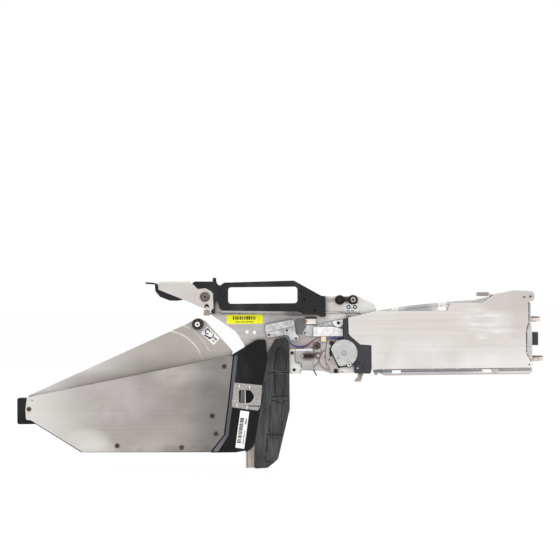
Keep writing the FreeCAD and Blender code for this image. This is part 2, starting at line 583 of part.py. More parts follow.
rod_shape, rod_length = route([
    (-427.0, value("rod_y"), value("rod_z")),
    (value("rod_drop_x"), value("rod_y"), value("rod_z")),
    (value("rod_drop_x"), value("rod_y"), -2.5)], value("rod_rad"), 6.0)
feature("pull_rod", rod_shape)
plate("lock_hook", "gear_y + 0.4", "plate_y - 0.3", [
    (-226.0, -3.2, 1), ("hook_x + 3.6", -4.4, 3), ("hook_x + 3.2", -12.0), (-219.1, -18.0),
    (-222.6, -28.5, 1), (-230.9, -28.4, 1), (-230.8, -26.0), (-226.5, -22.0), (-226.5, -12.0)],
    ("circle", "hook_x", "hook_z", "hook_pin_rad + fit"))
hook_pin = turned("HookPin", "hook_x", "hook_z", [
    (0, 3.0), ("hook_pin_rad", 3.0), ("hook_pin_rad", "%s - 0.2" % PLATE_BACK),
    (0, "%s - 0.2" % PLATE_BACK)])

# Guide rollers on the lobe and tape channel under the handle

axles = []
for label, x in (("guide_roller_rear", "roller_rear_x"), ("guide_roller_front", "roller_front_x")):
    turned(label, x, "roller_z", [
        ("shaft_rad + fit", -4.0), ("roller_rad - 1.2", -4.0), ("roller_rad", -3.2),
        ("roller_rad", -1.6), ("roller_rad - 1.4", -1.6), ("roller_rad - 1.4", 4.6),
        ("roller_rad", 4.6), ("roller_rad", 6.4), ("shaft_rad + fit", 6.4)])
    axles.append(turned("RollerAxle", x, "roller_z", [
        (0, -5.6), (3.0, -5.6), (3.4, -5.2), (3.4, -4.2), ("shaft_rad", -4.2),
        ("shaft_rad", "%s - 0.4" % PLATE_BACK), (0, "%s - 0.4" % PLATE_BACK)]))
plate("guide_bar", -2.0, "plate_y", [
    (-242.0, 75.6, 0.8), (-238.6, 75.6, 0.8), (-238.6, 82.0, 0.8), (-242.0, 82.0, 0.8)])
tape_channel = plate("tape_channel", "-4.6", "rod_y - rod_rad - 0.4", [
    (-403.0, 63.4), (-301.5, 61.4), (-301.5, 64.4), (-403.0, 66.4)])
cut(tape_channel, "-3.6", "3.4", [
    (-404.0, 64.6), (-300.0, 62.6), (-300.0, 63.8), (-404.0, 65.8)])

# Sensor group on the main plate

plate("sensor_bracket", 5.7, "plate_y", [
    (-299.0, 35.0, 3), (-292.0, 31.0), (-244.8, 31.0), (-244.8, 53.6), (-258.2, 51.1),
    (-280.3, 45.3), (-291.0, 46.6, 3)], ("circle", -295.0, 35.6, 1.4),
    ("circle", -251.2, 48.6, "screw_rad + fit"))
plate("sensor_block", -2.0, 5.7, [
    (-284.1, 31.2, 1.2), (-245.2, 31.2, 1.2), (-245.2, 40.4), (-258.4, 43.8, 2), (-284.1, 43.8, 1.2)])
sensor_boss = plate("BossBlock", -1.0, 5.7, [
    (-258.4, 50.9), (-257.9, 46.0, 5), (-251.2, 41.6, 5), (-245.2, 46.0, 4), (-245.2, 53.0)],
    ("circle", -251.2, 48.6, "screw_rad + fit"))
plate("sensor_plug", 1.5, "plate_y", [
    (-293.2, 47.2, 0.8), (-280.6, 47.2, 0.8), (-280.6, 54.4), (-293.2, 54.4)])
plate("sensor_plug_latch", 0.5, 6.0, [
    (-294.4, 54.4), (-279.4, 54.4), (-279.4, 56.2, 0.6), (-294.4, 56.2, 0.6)])
catch = plate("CoverCatch", 3.0, "plate_y", [
    (-241.2, 57.0), (-239.8, 57.0), (-237.9, 59.0), (-236.1, 57.0), (-234.7, 57.0), (-237.9, 60.4)])
group("sensor_boss", [sensor_boss, catch])

rail_bracket = plate("rail_bracket", 3.0, "plate_y", [
    (-347.3, 47.5, 1), (-308.8, 54.5, 1), (-306.7, 35.3, 1), (-303.1, 31.6, 1), (-303.2, 26.4, 1),
    (-313.2, 25.8, 1), (-316.5, 32.4), (-320.9, 33.3), (-344.2, 29.5, 1)],
    *circles([(-341.8, 33.9), (-306.5, 28.7)], 1.5))
add(rail_bracket, 1.2, 3.0, [
    (-346.6, 37.6), (-318.0, 42.6), (-308.4, 45.6), (-309.2, 53.6), (-346.4, 46.8)])
cut(rail_bracket, 2.2, "plate_y", *circles([(-318.2, 39.4)], 1.5))

# Peel unit: gear motor, wheels and sprung pinch lever

motor_spots = about("motor_x", "motor_z", [(-15.8, 13.1), (-10.6, -23.5)])
first_reach = "sqrt((motor_x - rivet_x)^2 + (motor_z - rivet_z)^2)"
peel_mod = "(2 * %s / (peel_pinion_teeth + peel_idler_teeth))" % first_reach
drive_reach = "(%s * (peel_idler_teeth + peel_drive_teeth) / 2)" % peel_mod
drive_x = "(rivet_x + %s * cos(drive_turn))" % drive_reach
drive_z = "(rivet_z + %s * sin(drive_turn))" % drive_reach
motor_plate = plate("MotorFlange", 0.0, 1.5, about("motor_x", "motor_z", [
    (-21.0, 15.7, 3), (-24.2, -4.7, 4), (-22.1, -17.2, 4), (-14.4, -26.5, 3), (3.9, -26.6),
    (9.1, -19.1), (11.6, -9.5), (11.6, 9.5), (6.6, 15.9, 3)]),
    ("circle", "motor_x", "motor_z", 7.0), ("circle", "rivet_x", "rivet_z", "shaft_rad"),
    *circles(motor_spots, "screw_rad + fit"))
group("motor_plate", [motor_plate] + [
    plate("Standoff", 1.5, "plate_y", ("circle", x, z, 2.4), ("circle", x, z, "screw_rad + fit"))
    for x, z in motor_spots])
motor_can = new_body("peel_motor")
add(motor_can, "-can_deep", 0, ("circle", "motor_x", "motor_z", "can_rad"))
cut(motor_can, "-can_deep - 1", 1, about("motor_x", "motor_z", [
    (-17.3, 5.7), (-6.1, -18.3), (-8.4, -25.5), (-25.4, -13.5), (-25.4, 4.5)]))
cut(motor_can, "-can_deep - 1", 1, about("motor_x", "motor_z", [
    (-11.4, -19.1), (4.0, -15.0), (14.6, -13.1), (16.6, -23.5), (-11.4, -25.5)]))
add(motor_can, "-can_deep + 3.4", 0, ("circle", "motor_x + 6.6", "motor_z - 14.7", 3.0))
add(motor_can, "-can_deep + 3.4", 0, ("circle", "motor_x - 8.0", "motor_z + 13.9", 2.6))
add(motor_can, "-can_deep - 0.5", "-can_deep + 0.2", ("circle", "motor_x", "motor_z", 2.3))
add(motor_can, 0, 1.5, ("circle", "motor_x", "motor_z", 6.9))
motor_shaft = turned("MotorShaft", "motor_x", "motor_z", [
    (0, 1.6), ("shaft_rad", 1.6), ("shaft_rad", "plate_y - 0.2"), (0, "plate_y - 0.2")])

to_idler = math.degrees(math.atan2(value("rivet_z - motor_z"), value("rivet_x - motor_x")))
phase_peel = -to_idler
phase_middle = mesh_phase(to_idler, phase_peel, "peel_pinion_teeth", "peel_idler_teeth")
phase_drive = mesh_phase(value("drive_turn"), phase_middle, "peel_idler_teeth", "peel_drive_teeth")
cut_mod = peel_mod + " * 0.99"
peel_pinion = gear("PeelPinion", "motor_x", "motor_z", "peel_pinion_teeth", cut_mod, "peel_y",
                   "peel_wide", "shaft_rad", phase_peel)
gear("peel_idler", "rivet_x", "rivet_z", "peel_idler_teeth", cut_mod, "peel_y", "peel_wide",
     "shaft_rad + fit", phase_middle, ("shaft_rad + 1.8", 1.9, "peel_y"))
peel_gear = gear("PeelGear", drive_x, drive_z, "peel_drive_teeth", cut_mod, "peel_y",
                 "peel_wide", "shaft_rad", phase_drive)
rivet = turned("Rivet", "rivet_x", "rivet_z", [
    (0, -0.9), ("shaft_rad + 1", -0.9), ("shaft_rad + 1.2", 0), ("shaft_rad", 0),
    ("shaft_rad", "plate_y"), (0, "plate_y")])
drive_shaft = turned("DriveShaft", drive_x, drive_z, [
    (0, -2.9), ("shaft_rad", -2.9), ("shaft_rad", "plate_y - 0.2"), (0, "plate_y - 0.2")])
drive_wheel = turned("DriveWheel", drive_x, drive_z, [
    ("shaft_rad", -2.1), ("drive_rad", -2.1), ("drive_rad", 1.9), ("shaft_rad", 1.9)])
group("peel_pinion", [peel_pinion, motor_shaft])
group("peel_drive", [peel_gear, drive_shaft, drive_wheel])
bracket_spots = [(-311.7, 10.0), (-309.3, -12.0)]
peel_bracket = plate("peel_bracket", 2.3, 4.3, [
    (-315.4, 15.3, 2), (-315.4, -17.4, 2), (-301.8, -17.4, 3), (-301.8, -11.6, 2),
    (-284.6, -11.6), (-284.6, 14.6, 1), (-301.0, 15.3)],
    ("circle", drive_x, drive_z, "shaft_rad + fit"),
    *circles(bracket_spots, "screw_rad + fit"))
add(peel_bracket, 4.3, "plate_y", *circles(bracket_spots, 2.8),
    *circles(bracket_spots, "screw_rad + fit"))
group("mechanism_screws", [
    *(screw(x, z, 0, 5, -1) for x, z in motor_spots),
    *(screw(x, z, 2.3, 5, -1, "screw_rad + 0.5") for x, z in bracket_spots),
    screw(-251.2, 48.6, -1.0, 7.5, -1, "screw_rad + 0.5")])
peel_cover = plate("peel_cover", -3.2, 2.3, [
    (-308.0, 15.2, 3), (-308.0, -2.5, 3), (-300.0, -4.2), (-300.0, -10.6), (-284.6, -10.6),
    (-284.6, 15.2, 2)])
pocket_left = "%s - drive_rad - 0.5" % drive_x
pocket_low = "%s - drive_rad - 0.5" % drive_z
pocket_high = "%s + drive_rad + 0.5" % drive_z
cut(peel_cover, -2.4, 3.0, [
    (pocket_left, pocket_low, 5), (-283.0, pocket_low), (-283.0, pocket_high),
    (pocket_left, pocket_high, 5)])
cut(peel_cover, -4.0, 3.0, ("circle", drive_x, drive_z, "shaft_rad + fit"))
pinch_lever = plate("PinchArm", 2.5, 4.2, [
    ("pivot_x - 4.4", "pivot_z + 4.4", 4.0), ("pivot_x - 4.0", "pivot_z - 4.0"), (-281.6, "pinch_z"),
    (-281.2, "pinch_z - 3.2", 2.5), (-274.6, "pinch_z - 3.2", 2.5), (-274.4, "pinch_z"),
    ("pivot_x + 4.0", "pivot_z - 4.0"), ("pivot_x + 4.4", "pivot_z + 4.4", 4.0)],
    ("circle", "pivot_x", "pivot_z", "pivot_rad + fit"),
    ("circle", "pinch_x", "pinch_z", "shaft_rad"))
pinch_axle = turned("PinchAxle", "pinch_x", "pinch_z", [
    (0, -7.8), (1.0, -8.2), (1.9, -7.8), (1.9, -7.0), ("shaft_rad", -6.8), ("shaft_rad", 4.2), (0, 4.2)])
group("pinch_lever", [pinch_lever, pinch_axle])
turned("pinch_wheel", "pinch_x", "pinch_z", [
    ("shaft_rad + fit", -2.1), ("pinch_rad", -2.1), ("pinch_rad", 1.9), ("shaft_rad + fit", 1.9)])
turned("pinch_pivot", "pivot_x", "pivot_z", [
    (0, -3.0), (3.2, -3.0), (4.8, -2.2), (4.8, 1.0), (3.0, 1.0), (3.0, 2.2), ("pivot_rad", 2.2),
    ("pivot_rad", "plate_y"), (0, "plate_y")])
coil = doc.addObject("Part::Helix", "Coil")
coil.setExpression("Pitch", bound("spring_pitch"))
coil.setExpression("Height", bound("spring_pitch * spring_turns"))
coil.setExpression("Radius", bound("spring_rad"))
wire = doc.addObject("Part::RegularPolygon", "Wire")
wire.Polygon = 8
wire.setExpression("Circumradius", bound("spring_wire"))
wire.Placement = Placement(Vector(0, 0, 0), Rotation(Vector(1, 0, 0), 90))
wire.setExpression("Placement.Base.x", bound("spring_rad"))
spring = doc.addObject("Part::Sweep", "pinch_spring")
spring.Label = "pinch_spring"
spring.Sections = [wire]
spring.Spine = (coil, ["Edge1"])
spring.Solid = True
spring.Frenet = True
spring.Placement = Placement(Vector(0, 0, 0), Rotation(Vector(0, 1, 0), 90))
place(spring, "spring_left", "-3.2 - spring_rad - spring_wire - 0.1", "pinch_z - 0.4")
spring_post = turned("SpringPost", "spring_left - 1.6", "pinch_z - 0.4", [
    (0, -7.6), (1.4, -7.6), (1.4, -6.8), (0.9, -6.8), (0.9, -3.2), (0, -3.2)])
stop_pin = plate("StopPin", 4.4, "plate_y", [
    (-284.6, -13.2), (-283.2, -12.6), (-279.4, -19.6), (-280.6, -20.4)])
group("fixed_pins", [idler_axle, rivet, hook_pin, spring_post, stop_pin])

bracket = plate("motor_bracket", COVER_BACK, "gear_y - 0.4", [
    (-244.6, 53.4), (-244.6, -4.0), (-233.2, -5.5), (-231.8, -9.0), (-230.8, -17.0, 1),
    ("head_rear - 2.0", -17.6, 1), ("head_rear - 0.2", -14.0), ("head_rear - 0.2", 61.0),
    (-238.6, 55.0)],
    ("circle", "hook_x", "hook_z", "hook_pin_rad"))
cut(bracket, "front_y - 1", "plate_y", ("circle", "motor_x", "motor_z", "can_rad + 0.5"))
add(bracket, "gear_y - 0.4", "plate_y", *circles([(-213.4, 14.0), (-213.4, 48.0)], 2.2))

harness_points = [
    (-315.0, 0.0, 24.6), (-310.2, 0.0, 20.0), (-303.6, 0.0, 17.6), (-295.4, 0.0, 18.2),
    (-288.4, 0.0, 21.6), (-282.6, 0.0, 26.2), (-274.6, 0.0, 28.7), (-259.0, 0.0, 29.0),
    (-245.0, 0.0, 28.4)]
harness_shape, harness_length = route(harness_points, value("harness_rad"))
feature("wire_harness", harness_shape)
clamp = doc.addObject("Part::Cut", "wire_clamp")
clamp.Label = "wire_clamp"
clamp.Base = block("ClampBlock", (-274.0, -2.0, 24.5), (-267.4, "plate_y", 30.9))
clamp_hole = doc.addObject("Part::Cylinder", "ClampHole")
clamp_hole.setExpression("Radius", bound("harness_rad + 0.12"))
clamp_hole.Height = 12
clamp_hole.Placement = Placement(Vector(-276.0, 0.0, 28.75), Rotation(Vector(0, 1, 0), 90))
clamp.Tool = clamp_hole

# Reel bin: plates, walls, roller and end cap

bin_front = "(front_y + bin_wall)"
bin_back = "(plate_y - bin_wall)"
cover_spots = [(-653.5, -58.8), (-539.7, -107.5), (-456.2, -110.5), (-399.8, -6.0), (-416.2, -70.0),
               (-411.5, -93.2)]
plate("bin_cover", "front_y", bin_front, [
    (-656.0, -43.8, 2), (-658.2, -60.0), (-657.4, -72.6, 2), (-651.3, -73.2), (-585.1, -115.0, 1),
    (-418.9, -116.4), (-401.5, -94.7), (-395.8, -54.1), (-388.5, 8.1, 2)],
    *circles(cover_spots, "screw_rad + fit"))
group("cover_screws", [screw(x, z, "front_y", 5, -1, tall="0.9") for x, z in cover_spots])
plate("bin_back_plate", bin_back, "plate_y", [
    (-656.0, -42.0, 3), (-656.0, -74.0, 3), (-586.0, -115.6, 6), (-418.0, -116.4), (-401.0, -90.0),
    (-389.2, 13.4, 3), (-423.7, 52.0, 3), (-434.2, 57.6, 8), (-446.0, 50.4, 4)],
    ("circle", "reel_roller_x", "reel_roller_z", "shaft_rad"))
wall = plate("FloorStrip", bin_front, bin_back, [
    (-645.2, -78.3), (-586.4, -115.6), (-418.6, -117.2), (-418.6, -115.4), (-586.0, -113.8),
    (-645.2, -76.4)])
for x, z in ((-539.7, -107.5), (-456.2, -110.5)):
    add(wall, bin_front, bin_back, [
        ("%s - 4" % x, "%s + 3" % z, 2), ("%s - 4" % x, "-115.6"), ("%s + 4" % x, "-115.6"),
        ("%s + 4" % x, "%s + 3" % z, 2)])
    cut(wall, bin_front, "%s + 6" % bin_front, ("circle", x, z, "screw_rad + fit"))
end_cap = plate("EndCap", bin_front, bin_back, [
    (-668.7, -44.5, 2), (-669.0, -78.4, 3), (-645.4, -78.3), (-645.4, -72.0), (-649.6, -68.0),
    (-649.6, -44.5, 2)])
cut(end_cap, bin_front, "%s + 6" % bin_front, ("circle", -653.5, -58.8, "screw_rad + fit"))
group("bin_end_wall", [wall, end_cap])
moulding = plate("bin_moulding", bin_front, "plate_y", [
    (-388.3, 9.8), (-357.7, 27.7, 3), (-346.0, 27.6, 3), (-344.8, 3.0), (-351.0, -31.2), (-355.2, -63.4),
    (-362.2, -103.2, 3), (-372.4, -115.4, 3), (-386.0, -117.8), (-418.2, -117.8), (-418.2, -115.0),
    (-424.0, -100.0), (-419.0, -60.0), (-405.0, -10.0)])
cut(moulding, bin_back, "plate_y + 1", [
    (-389.0, 14.0), (-400.7, -90.4), (-417.8, -116.8), (-417.8, -119.0), (-430.0, -119.0),
    (-430.0, 14.0)])
for x, z in cover_spots[3:]:
    cut(moulding, bin_front, "%s + 6" % bin_front, ("circle", x, z, "screw_rad + fit"))
cut(moulding, "plate_y - 4", "plate_y", *circles(bin_spots, "screw_rad"))
cut(moulding, bin_front, "%s + 5.5" % bin_front, [
    ("-384.4 - latch_travel", -35.0, 2), ("-384.4 - latch_travel", -56.0, 2),
    (-359.0, -56.0, 2), (-359.0, -35.0, 2)])
group("rear_screws", [
    *(screw(x, z, PLATE_BACK, "plate_wall + 5", 1) for x, z in rear_spots),
    *(screw(x, z, PLATE_BACK, "plate_wall + 4", 1) for x, z in bin_spots + handle_spots)])

turned("reel_roller", "reel_roller_x", "reel_roller_z", [
    ("shaft_rad + fit", -8.0), ("reel_roller_rad - 0.8", -8.0), ("reel_roller_rad", -7.2),
    ("reel_roller_rad", -6.2), ("reel_roller_rad - 1.6", -5.2), ("reel_roller_rad - 1.6", 3.4),
    ("reel_roller_rad", 4.4), ("reel_roller_rad", 6.0), ("shaft_rad + fit", 6.0)])
axles.append(turned("ReelAxle", "reel_roller_x", "reel_roller_z", [
    (0, -9.2), (2.6, -9.2), (3.0, -8.8), (3.0, -8.2), ("shaft_rad", -8.2), ("shaft_rad", "plate_y"),
    (0, "plate_y")]))
group("roller_axles", axles)

plate("bin_latch", "%s - latch_wall" % bin_front, bin_front, [
    (-387.4, -27.1, 1), (-391.0, -59.1, 1), (-357.0, -63.8, 1), (-353.4, -58.4), (-351.0, -31.2, 1)], [
    (-381.3, -37.1, 2), (-381.3, -53.9, 2), (-366.0, -53.9, 7), (-361.2, -45.5, 5), (-366.0, -37.1, 7)])
plate("latch_grip", bin_front, "%s + 4.5" % bin_front, [
    (-384.0, -36.4, 1), (-384.0, -54.6, 1), (-373.0, -54.6, 2), (-373.0, -36.4, 2)])

# Waste tape chute

chute = plate("chute_cover", "front_y", 1.5, [
    (-343.3, 11.6), (-333.6, 28.3, 6), (-317.9, 31.9, 6), (-315.5, 22.0), (-315.5, -62.0),
    (-325.6, -103.6), (-331.4, -127.1, 8), (-344.7, -138.1, 8), (-363.0, -139.2, 3), (-361.3, -105.0),
    (-354.0, -62.2), (-349.4, -44.2), (-349.4, -28.1), (-344.8, -3.3)])
cut(chute, "front_y + chute_wall", 2.0, [
    (-341.0, 10.6), (-332.4, 25.6, 4), (-319.0, 28.6, 4), (-317.3, 22.0), (-317.3, -62.0),
    (-327.3, -103.6), (-333.0, -126.1, 6), (-345.7, -136.0), (-345.7, -141.0), (-360.8, -141.0),
    (-359.4, -105.0), (-352.2, -62.2), (-347.0, -44.2), (-347.0, -28.1), (-342.8, -3.3)])
recesses = [
    ("panel_deep", [(-332.1, 16.5, 3), (-332.1, -12.9, 3), (-319.0, -12.9, 3), (-319.0, 16.5, 3)]),
    ("panel_deep / 2", [(-334.6, -17.0, 3), (-334.6, -43.2, 3), (-319.4, -43.2, 3),
                        (-319.4, -17.0, 3)]),
    ("panel_deep / 2", [(-340.0, -55.0, 3), (-342.4, -93.6, 3), (-327.0, -93.6, 3),
                        (-320.4, -64.0, 3), (-320.4, -55.0, 3)]),
    ("panel_deep / 2", [(-344.2, -97.6, 3), (-347.4, -129.5, 3), (-341.5, -129.5, 4),
                        (-334.5, -122.0, 4), (-328.6, -97.6, 3)])]
for depth, outline in recesses:
    cut(chute, "front_y - 1", "front_y + %s" % depth, outline)
slope = chute.newObject("PartDesign::Pocket", "Slope")
slope.Profile = draw(chute, [[
    ("slope_x", "front_y"), ("slope_x - 20", "front_y + 2"), ("slope_x - 20", "front_y - 1"),
    ("slope_x", "front_y - 1")]], 60, "XY_Plane")
slope.Length = 220
cut(chute, "front_y - 1", "%s + fit" % bin_front, [
    (-358.0, -26.0), (-346.4, -26.0), (-346.4, -66.0), (-358.0, -66.0)])
channel = plate("chute_channel", 1.8, "plate_y", [
    (-346.5, -30.0), (-317.6, -30.0), (-317.6, -62.0), (-327.6, -103.6), (-333.4, -127.1),
    (-346.0, -139.2), (-373.5, -139.2), (-373.2, -117.2), (-366.9, -109.6), (-361.8, -103.4),
    (-354.9, -63.4)])
cut(channel, 0.5, "plate_y - 1.2", [
    (-344.4, -31.2), (-318.8, -31.2), (-318.8, -62.0), (-328.8, -103.6), (-334.6, -127.1),
    (-346.0, -141.0), (-372.3, -141.0), (-372.0, -117.9), (-365.9, -110.4), (-360.6, -103.6),
    (-353.6, -63.4)])

# Every sub-part is checked and written as its own file

doc.recompute()
os.makedirs("parts", exist_ok=True)
for item in doc.Objects:
    if {"Invalid", "Error"} & set(item.State):
        raise RuntimeError("%s failed: %s" % (item.Label, item.State))


def whole(item):
    """A body or a stand-alone solid, not a feature or sketch inside a body."""
    inner = item.isDerivedFrom("PartDesign::Feature") or item.isDerivedFrom("Sketcher::SketchObject")
    return item.isDerivedFrom("Part::Feature") and not inner


used = {child.Name for item in doc.Objects if whole(item) for child in item.OutList
        if not item.isDerivedFrom("PartDesign::Body")}
total = 0
for item in doc.Objects:
    if not whole(item) or item.Name in used:
        continue
    shape = item.Shape
    if shape.isNull() or not shape.isValid() or not shape.Solids:
        raise RuntimeError("%s has no sound solid" % item.Label)
    shape.exportStep("parts/%s.step" % item.Label)
    total += 1
print("%d sub-parts, harness %.1f mm, rod %.1f mm" % (total, harness_length, rod_length))
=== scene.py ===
"""The looks of a slim tape feeder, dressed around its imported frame.

The feeder stands upright. X runs along the tape towards the machine, Z is up and the cover side
faces -Y. Finishes are given in metres, as the frame is, and pieces in millimetres.
"""

from __future__ import annotations

import json
import logging
import math
from dataclasses import dataclass
from enum import Enum
from functools import cached_property
from typing import Callable, ClassVar

import bmesh
import bpy
from mathutils import Matrix, Vector


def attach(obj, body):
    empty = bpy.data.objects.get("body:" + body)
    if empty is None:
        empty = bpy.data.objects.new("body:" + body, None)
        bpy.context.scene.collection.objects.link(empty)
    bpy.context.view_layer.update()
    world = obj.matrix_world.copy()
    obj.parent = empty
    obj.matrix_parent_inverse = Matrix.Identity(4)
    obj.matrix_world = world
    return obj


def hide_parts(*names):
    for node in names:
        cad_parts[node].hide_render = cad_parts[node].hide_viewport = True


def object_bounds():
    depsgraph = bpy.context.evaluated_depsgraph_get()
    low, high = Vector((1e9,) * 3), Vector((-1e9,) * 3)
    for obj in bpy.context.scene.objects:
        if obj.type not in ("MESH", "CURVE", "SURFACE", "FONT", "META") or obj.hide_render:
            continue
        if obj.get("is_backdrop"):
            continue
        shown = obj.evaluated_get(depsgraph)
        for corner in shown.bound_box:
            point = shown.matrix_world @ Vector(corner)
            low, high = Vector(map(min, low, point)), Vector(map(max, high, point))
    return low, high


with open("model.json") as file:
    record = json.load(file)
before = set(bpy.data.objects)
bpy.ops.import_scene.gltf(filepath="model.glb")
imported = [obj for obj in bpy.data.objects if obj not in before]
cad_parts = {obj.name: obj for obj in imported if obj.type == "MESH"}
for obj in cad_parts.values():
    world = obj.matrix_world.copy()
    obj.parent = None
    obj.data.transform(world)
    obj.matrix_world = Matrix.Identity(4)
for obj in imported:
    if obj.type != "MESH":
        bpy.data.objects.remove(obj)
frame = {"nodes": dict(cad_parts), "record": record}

MM = 0.001
LOG = logging.getLogger("tape_feeder")

Colour = tuple[float, float, float]
Point = tuple[float, float, float]
Spot = tuple[float, float]
Corner = tuple[float, ...]
Outline = list[Corner]

BODIES = frame["record"]["behaviour"]["bodies"]
BODY_OF = {node: body for body, nodes in BODIES.items() for node in nodes}


# Node maths


def operator(operation: str, swapped: bool = False) -> Callable[[Value, Value | float], Value]:
    """An operator of Value, which adds one Math node.

    Args:
        operation: the node's operation.
        swapped: whether the other term comes first.

    Returns:
        The operator.
    """

    def act(value: Value, other: Value | float) -> Value:
        terms = (other, value) if swapped else (value, other)
        return value.graph.maths(operation, *terms)

    return act


class Value:
    """A number, colour or vector in a node tree. Its operators add Math nodes."""

    __add__ = __radd__ = operator("ADD")
    __sub__ = operator("SUBTRACT")
    __rsub__ = operator("SUBTRACT", True)
    __mul__ = __rmul__ = operator("MULTIPLY")
    __truediv__ = operator("DIVIDE")
    __pow__ = operator("POWER")

    def __init__(self, graph: Graph, socket: bpy.types.NodeSocket) -> None:
        """Keeps the socket and the graph that its node belongs to."""
        self.graph = graph
        self.socket = socket

    def __abs__(self) -> Value:
        """The size without its sign."""
        return self.graph.maths("ABSOLUTE", self)

    def between(self, low: float, high: float) -> Value:
        """A smooth step from 0 at low to 1 at high.

        Args:
            low: the value that gives 0.
            high: the value that gives 1; it may be under low, which turns the step round.

        Returns:
            The stepped value.
        """
        limits = {"Value": self, "From Min": low, "From Max": high}
        return self.graph.node("ShaderNodeMapRange", limits, interpolation_type="SMOOTHSTEP")


class Graph:
    """A node tree, grown by calls that give values back."""

    def __init__(self, tree: bpy.types.NodeTree) -> None:
        """Keeps the tree."""
        self.tree = tree

    def node(self, kind: str, inputs: dict | None = None, output: int | str = 0,
             **settings: object) -> Value:
        """Adds a node of any kind.

        Args:
            kind: the node's type.
            inputs: a number, colour, vector or Value for each socket, by name or place.
            output: the socket that the result reads.
            settings: the node's own properties, set before its sockets.

        Returns:
            The value on that output.
        """
        made = self.tree.nodes.new(kind)
        for key, setting in settings.items():
            setattr(made, key, setting)
        for key, given in (inputs or {}).items():
            self.fill(made.inputs[key], given)
        return Value(self, made.outputs[output])

    def fill(self, socket: bpy.types.NodeSocket, given: Value | Point | float) -> None:
        """Links a value to a socket, or sets the number, vector or colour that it holds."""
        if isinstance(given, Value):
            self.tree.links.new(given.socket, socket)
        elif socket.type == "RGBA":
            socket.default_value = (*given, 1.0)
        else:
            socket.default_value = given

    def maths(self, operation: str, *terms: Value | float) -> Value:
        """One Math node on values or numbers."""
        return self.node("ShaderNodeMath", dict(enumerate(terms)), operation=operation)

    def beside(self, value: Value) -> dict[str, Value]:
        """All outputs, by name, of the node that a value comes from."""
        return {socket.name: Value(self, socket) for socket in value.socket.node.outputs}


class Paint(Graph):
    """One procedural material, whose surface is a single Principled shader."""

    def __init__(self, name: str) -> None:
        """Starts a material of that name."""
        self.material = bpy.data.materials.new(name)
        self.material.use_nodes = True
        super().__init__(self.material.node_tree)
        self.tree.nodes.clear()
        self.output = self.tree.nodes.new("ShaderNodeOutputMaterial")
        self.shader = self.tree.nodes.new("ShaderNodeBsdfPrincipled")
        self.tree.links.new(self.shader.outputs[0], self.output.inputs["Surface"])

    @cached_property
    def place(self) -> Value:
        """The point on the surface, in the object's own coordinates."""
        return self.node("ShaderNodeTexCoord", output="Object")

    @cached_property
    def axes(self) -> tuple[Value, ...]:
        """The three numbers of that point."""
        return tuple(self.beside(self.node("ShaderNodeSeparateXYZ", {0: self.place})).values())

    def noise(self, stretch: Point | float, detail: float = 3.0, turn: float = 0.0,
              shift: Point = (0.0, 0.0, 0.0)) -> Value:
        """Smooth noise with its own count of waves per metre along each axis.

        Args:
            stretch: waves per metre along X, Y and Z, or one number for all three.
            detail: octaves of finer noise.
            turn: turn of the pattern about Y, in degrees.
            shift: shift of the pattern in waves.

        Returns:
            The noise, about 0 to 1.
        """
        point = self.place
        if turn:
            angles = (0.0, math.radians(turn), 0.0)
            point = self.node("ShaderNodeMapping", {"Vector": point, "Rotation": angles})
        waves = stretch if isinstance(stretch, tuple) else (stretch, stretch, stretch)
        spread = self.node("ShaderNodeMapping", {"Vector": point, "Scale": waves, "Location": shift})
        return self.node("ShaderNodeTexNoise", {
            "Vector": spread, "Scale": 1.0, "Detail": detail, "Roughness": 0.55})

    def crevice(self, distance: float) -> Value:
        """How closed in a point is by surfaces within a distance in metres, 0 in the open."""
        return 1 - self.node("ShaderNodeAmbientOcclusion", {"Distance": distance}, "AO", samples=6)

    def blend(self, share: Value | float, first: Value | Colour, second: Value | Colour) -> Value:
        """Colour mix: the first colour at share 0 and the second at 1."""
        return self.node("ShaderNodeMix", {0: share, 6: first, 7: second}, 2, data_type="RGBA")

    def bump(self, height: Value, depth: float, strength: float) -> Value:
        """A Bump node: height in shares of a depth in metres."""
        return self.node("ShaderNodeBump", {"Height": height, "Distance": depth, "Strength": strength})

    def feed(self, **sockets: Value | Colour | float) -> bpy.types.Material:
        """Sets the shader's sockets, given with underscores for spaces, and ends the material."""
        for key, given in sockets.items():
            self.fill(self.shader.inputs[key.replace("_", " ")], given)
        return self.material


# Finishes


class Finish:
    """A surface finish. Its material is made once and shared."""

    made: dict[str, bpy.types.Material] = {}

    def material(self) -> bpy.types.Material:
        """The finish's material, made when first asked for."""
        if self.name not in Finish.made:
            Finish.made[self.name] = self.build()
        return Finish.made[self.name]


@dataclass(frozen=True)
class Tint:
    """A soft-edged change of colour over a part of a surface, between limits along X, Y and Z."""

    colour: Colour
    share: float
    along: Spot | None = None
    deep: Spot | None = None
    up: Spot | None = None
    patches: float = 0.0
    stretch: float = 1.0

    def cover(self, paint: Paint) -> Value | float:
        """How far the tint covers each point; patches break it up, long ones at a low stretch."""
        share: Value | float = self.share
        for way, limits in zip(paint.axes, (self.along, self.deep, self.up)):
            if limits:
                share = way.between(*limits) * share
        if self.patches:
            waves = (self.patches * self.stretch, self.patches, self.patches)
            share = paint.noise(waves, 4.0, 0.0, (1.0, 8.0, 5.0)).between(0.40, 0.64) * share
        return share

    def lay(self, paint: Paint, colour: Value | Colour) -> Value:
        """Lays the tint over a colour."""
        return paint.blend(self.cover(paint), colour, self.colour)


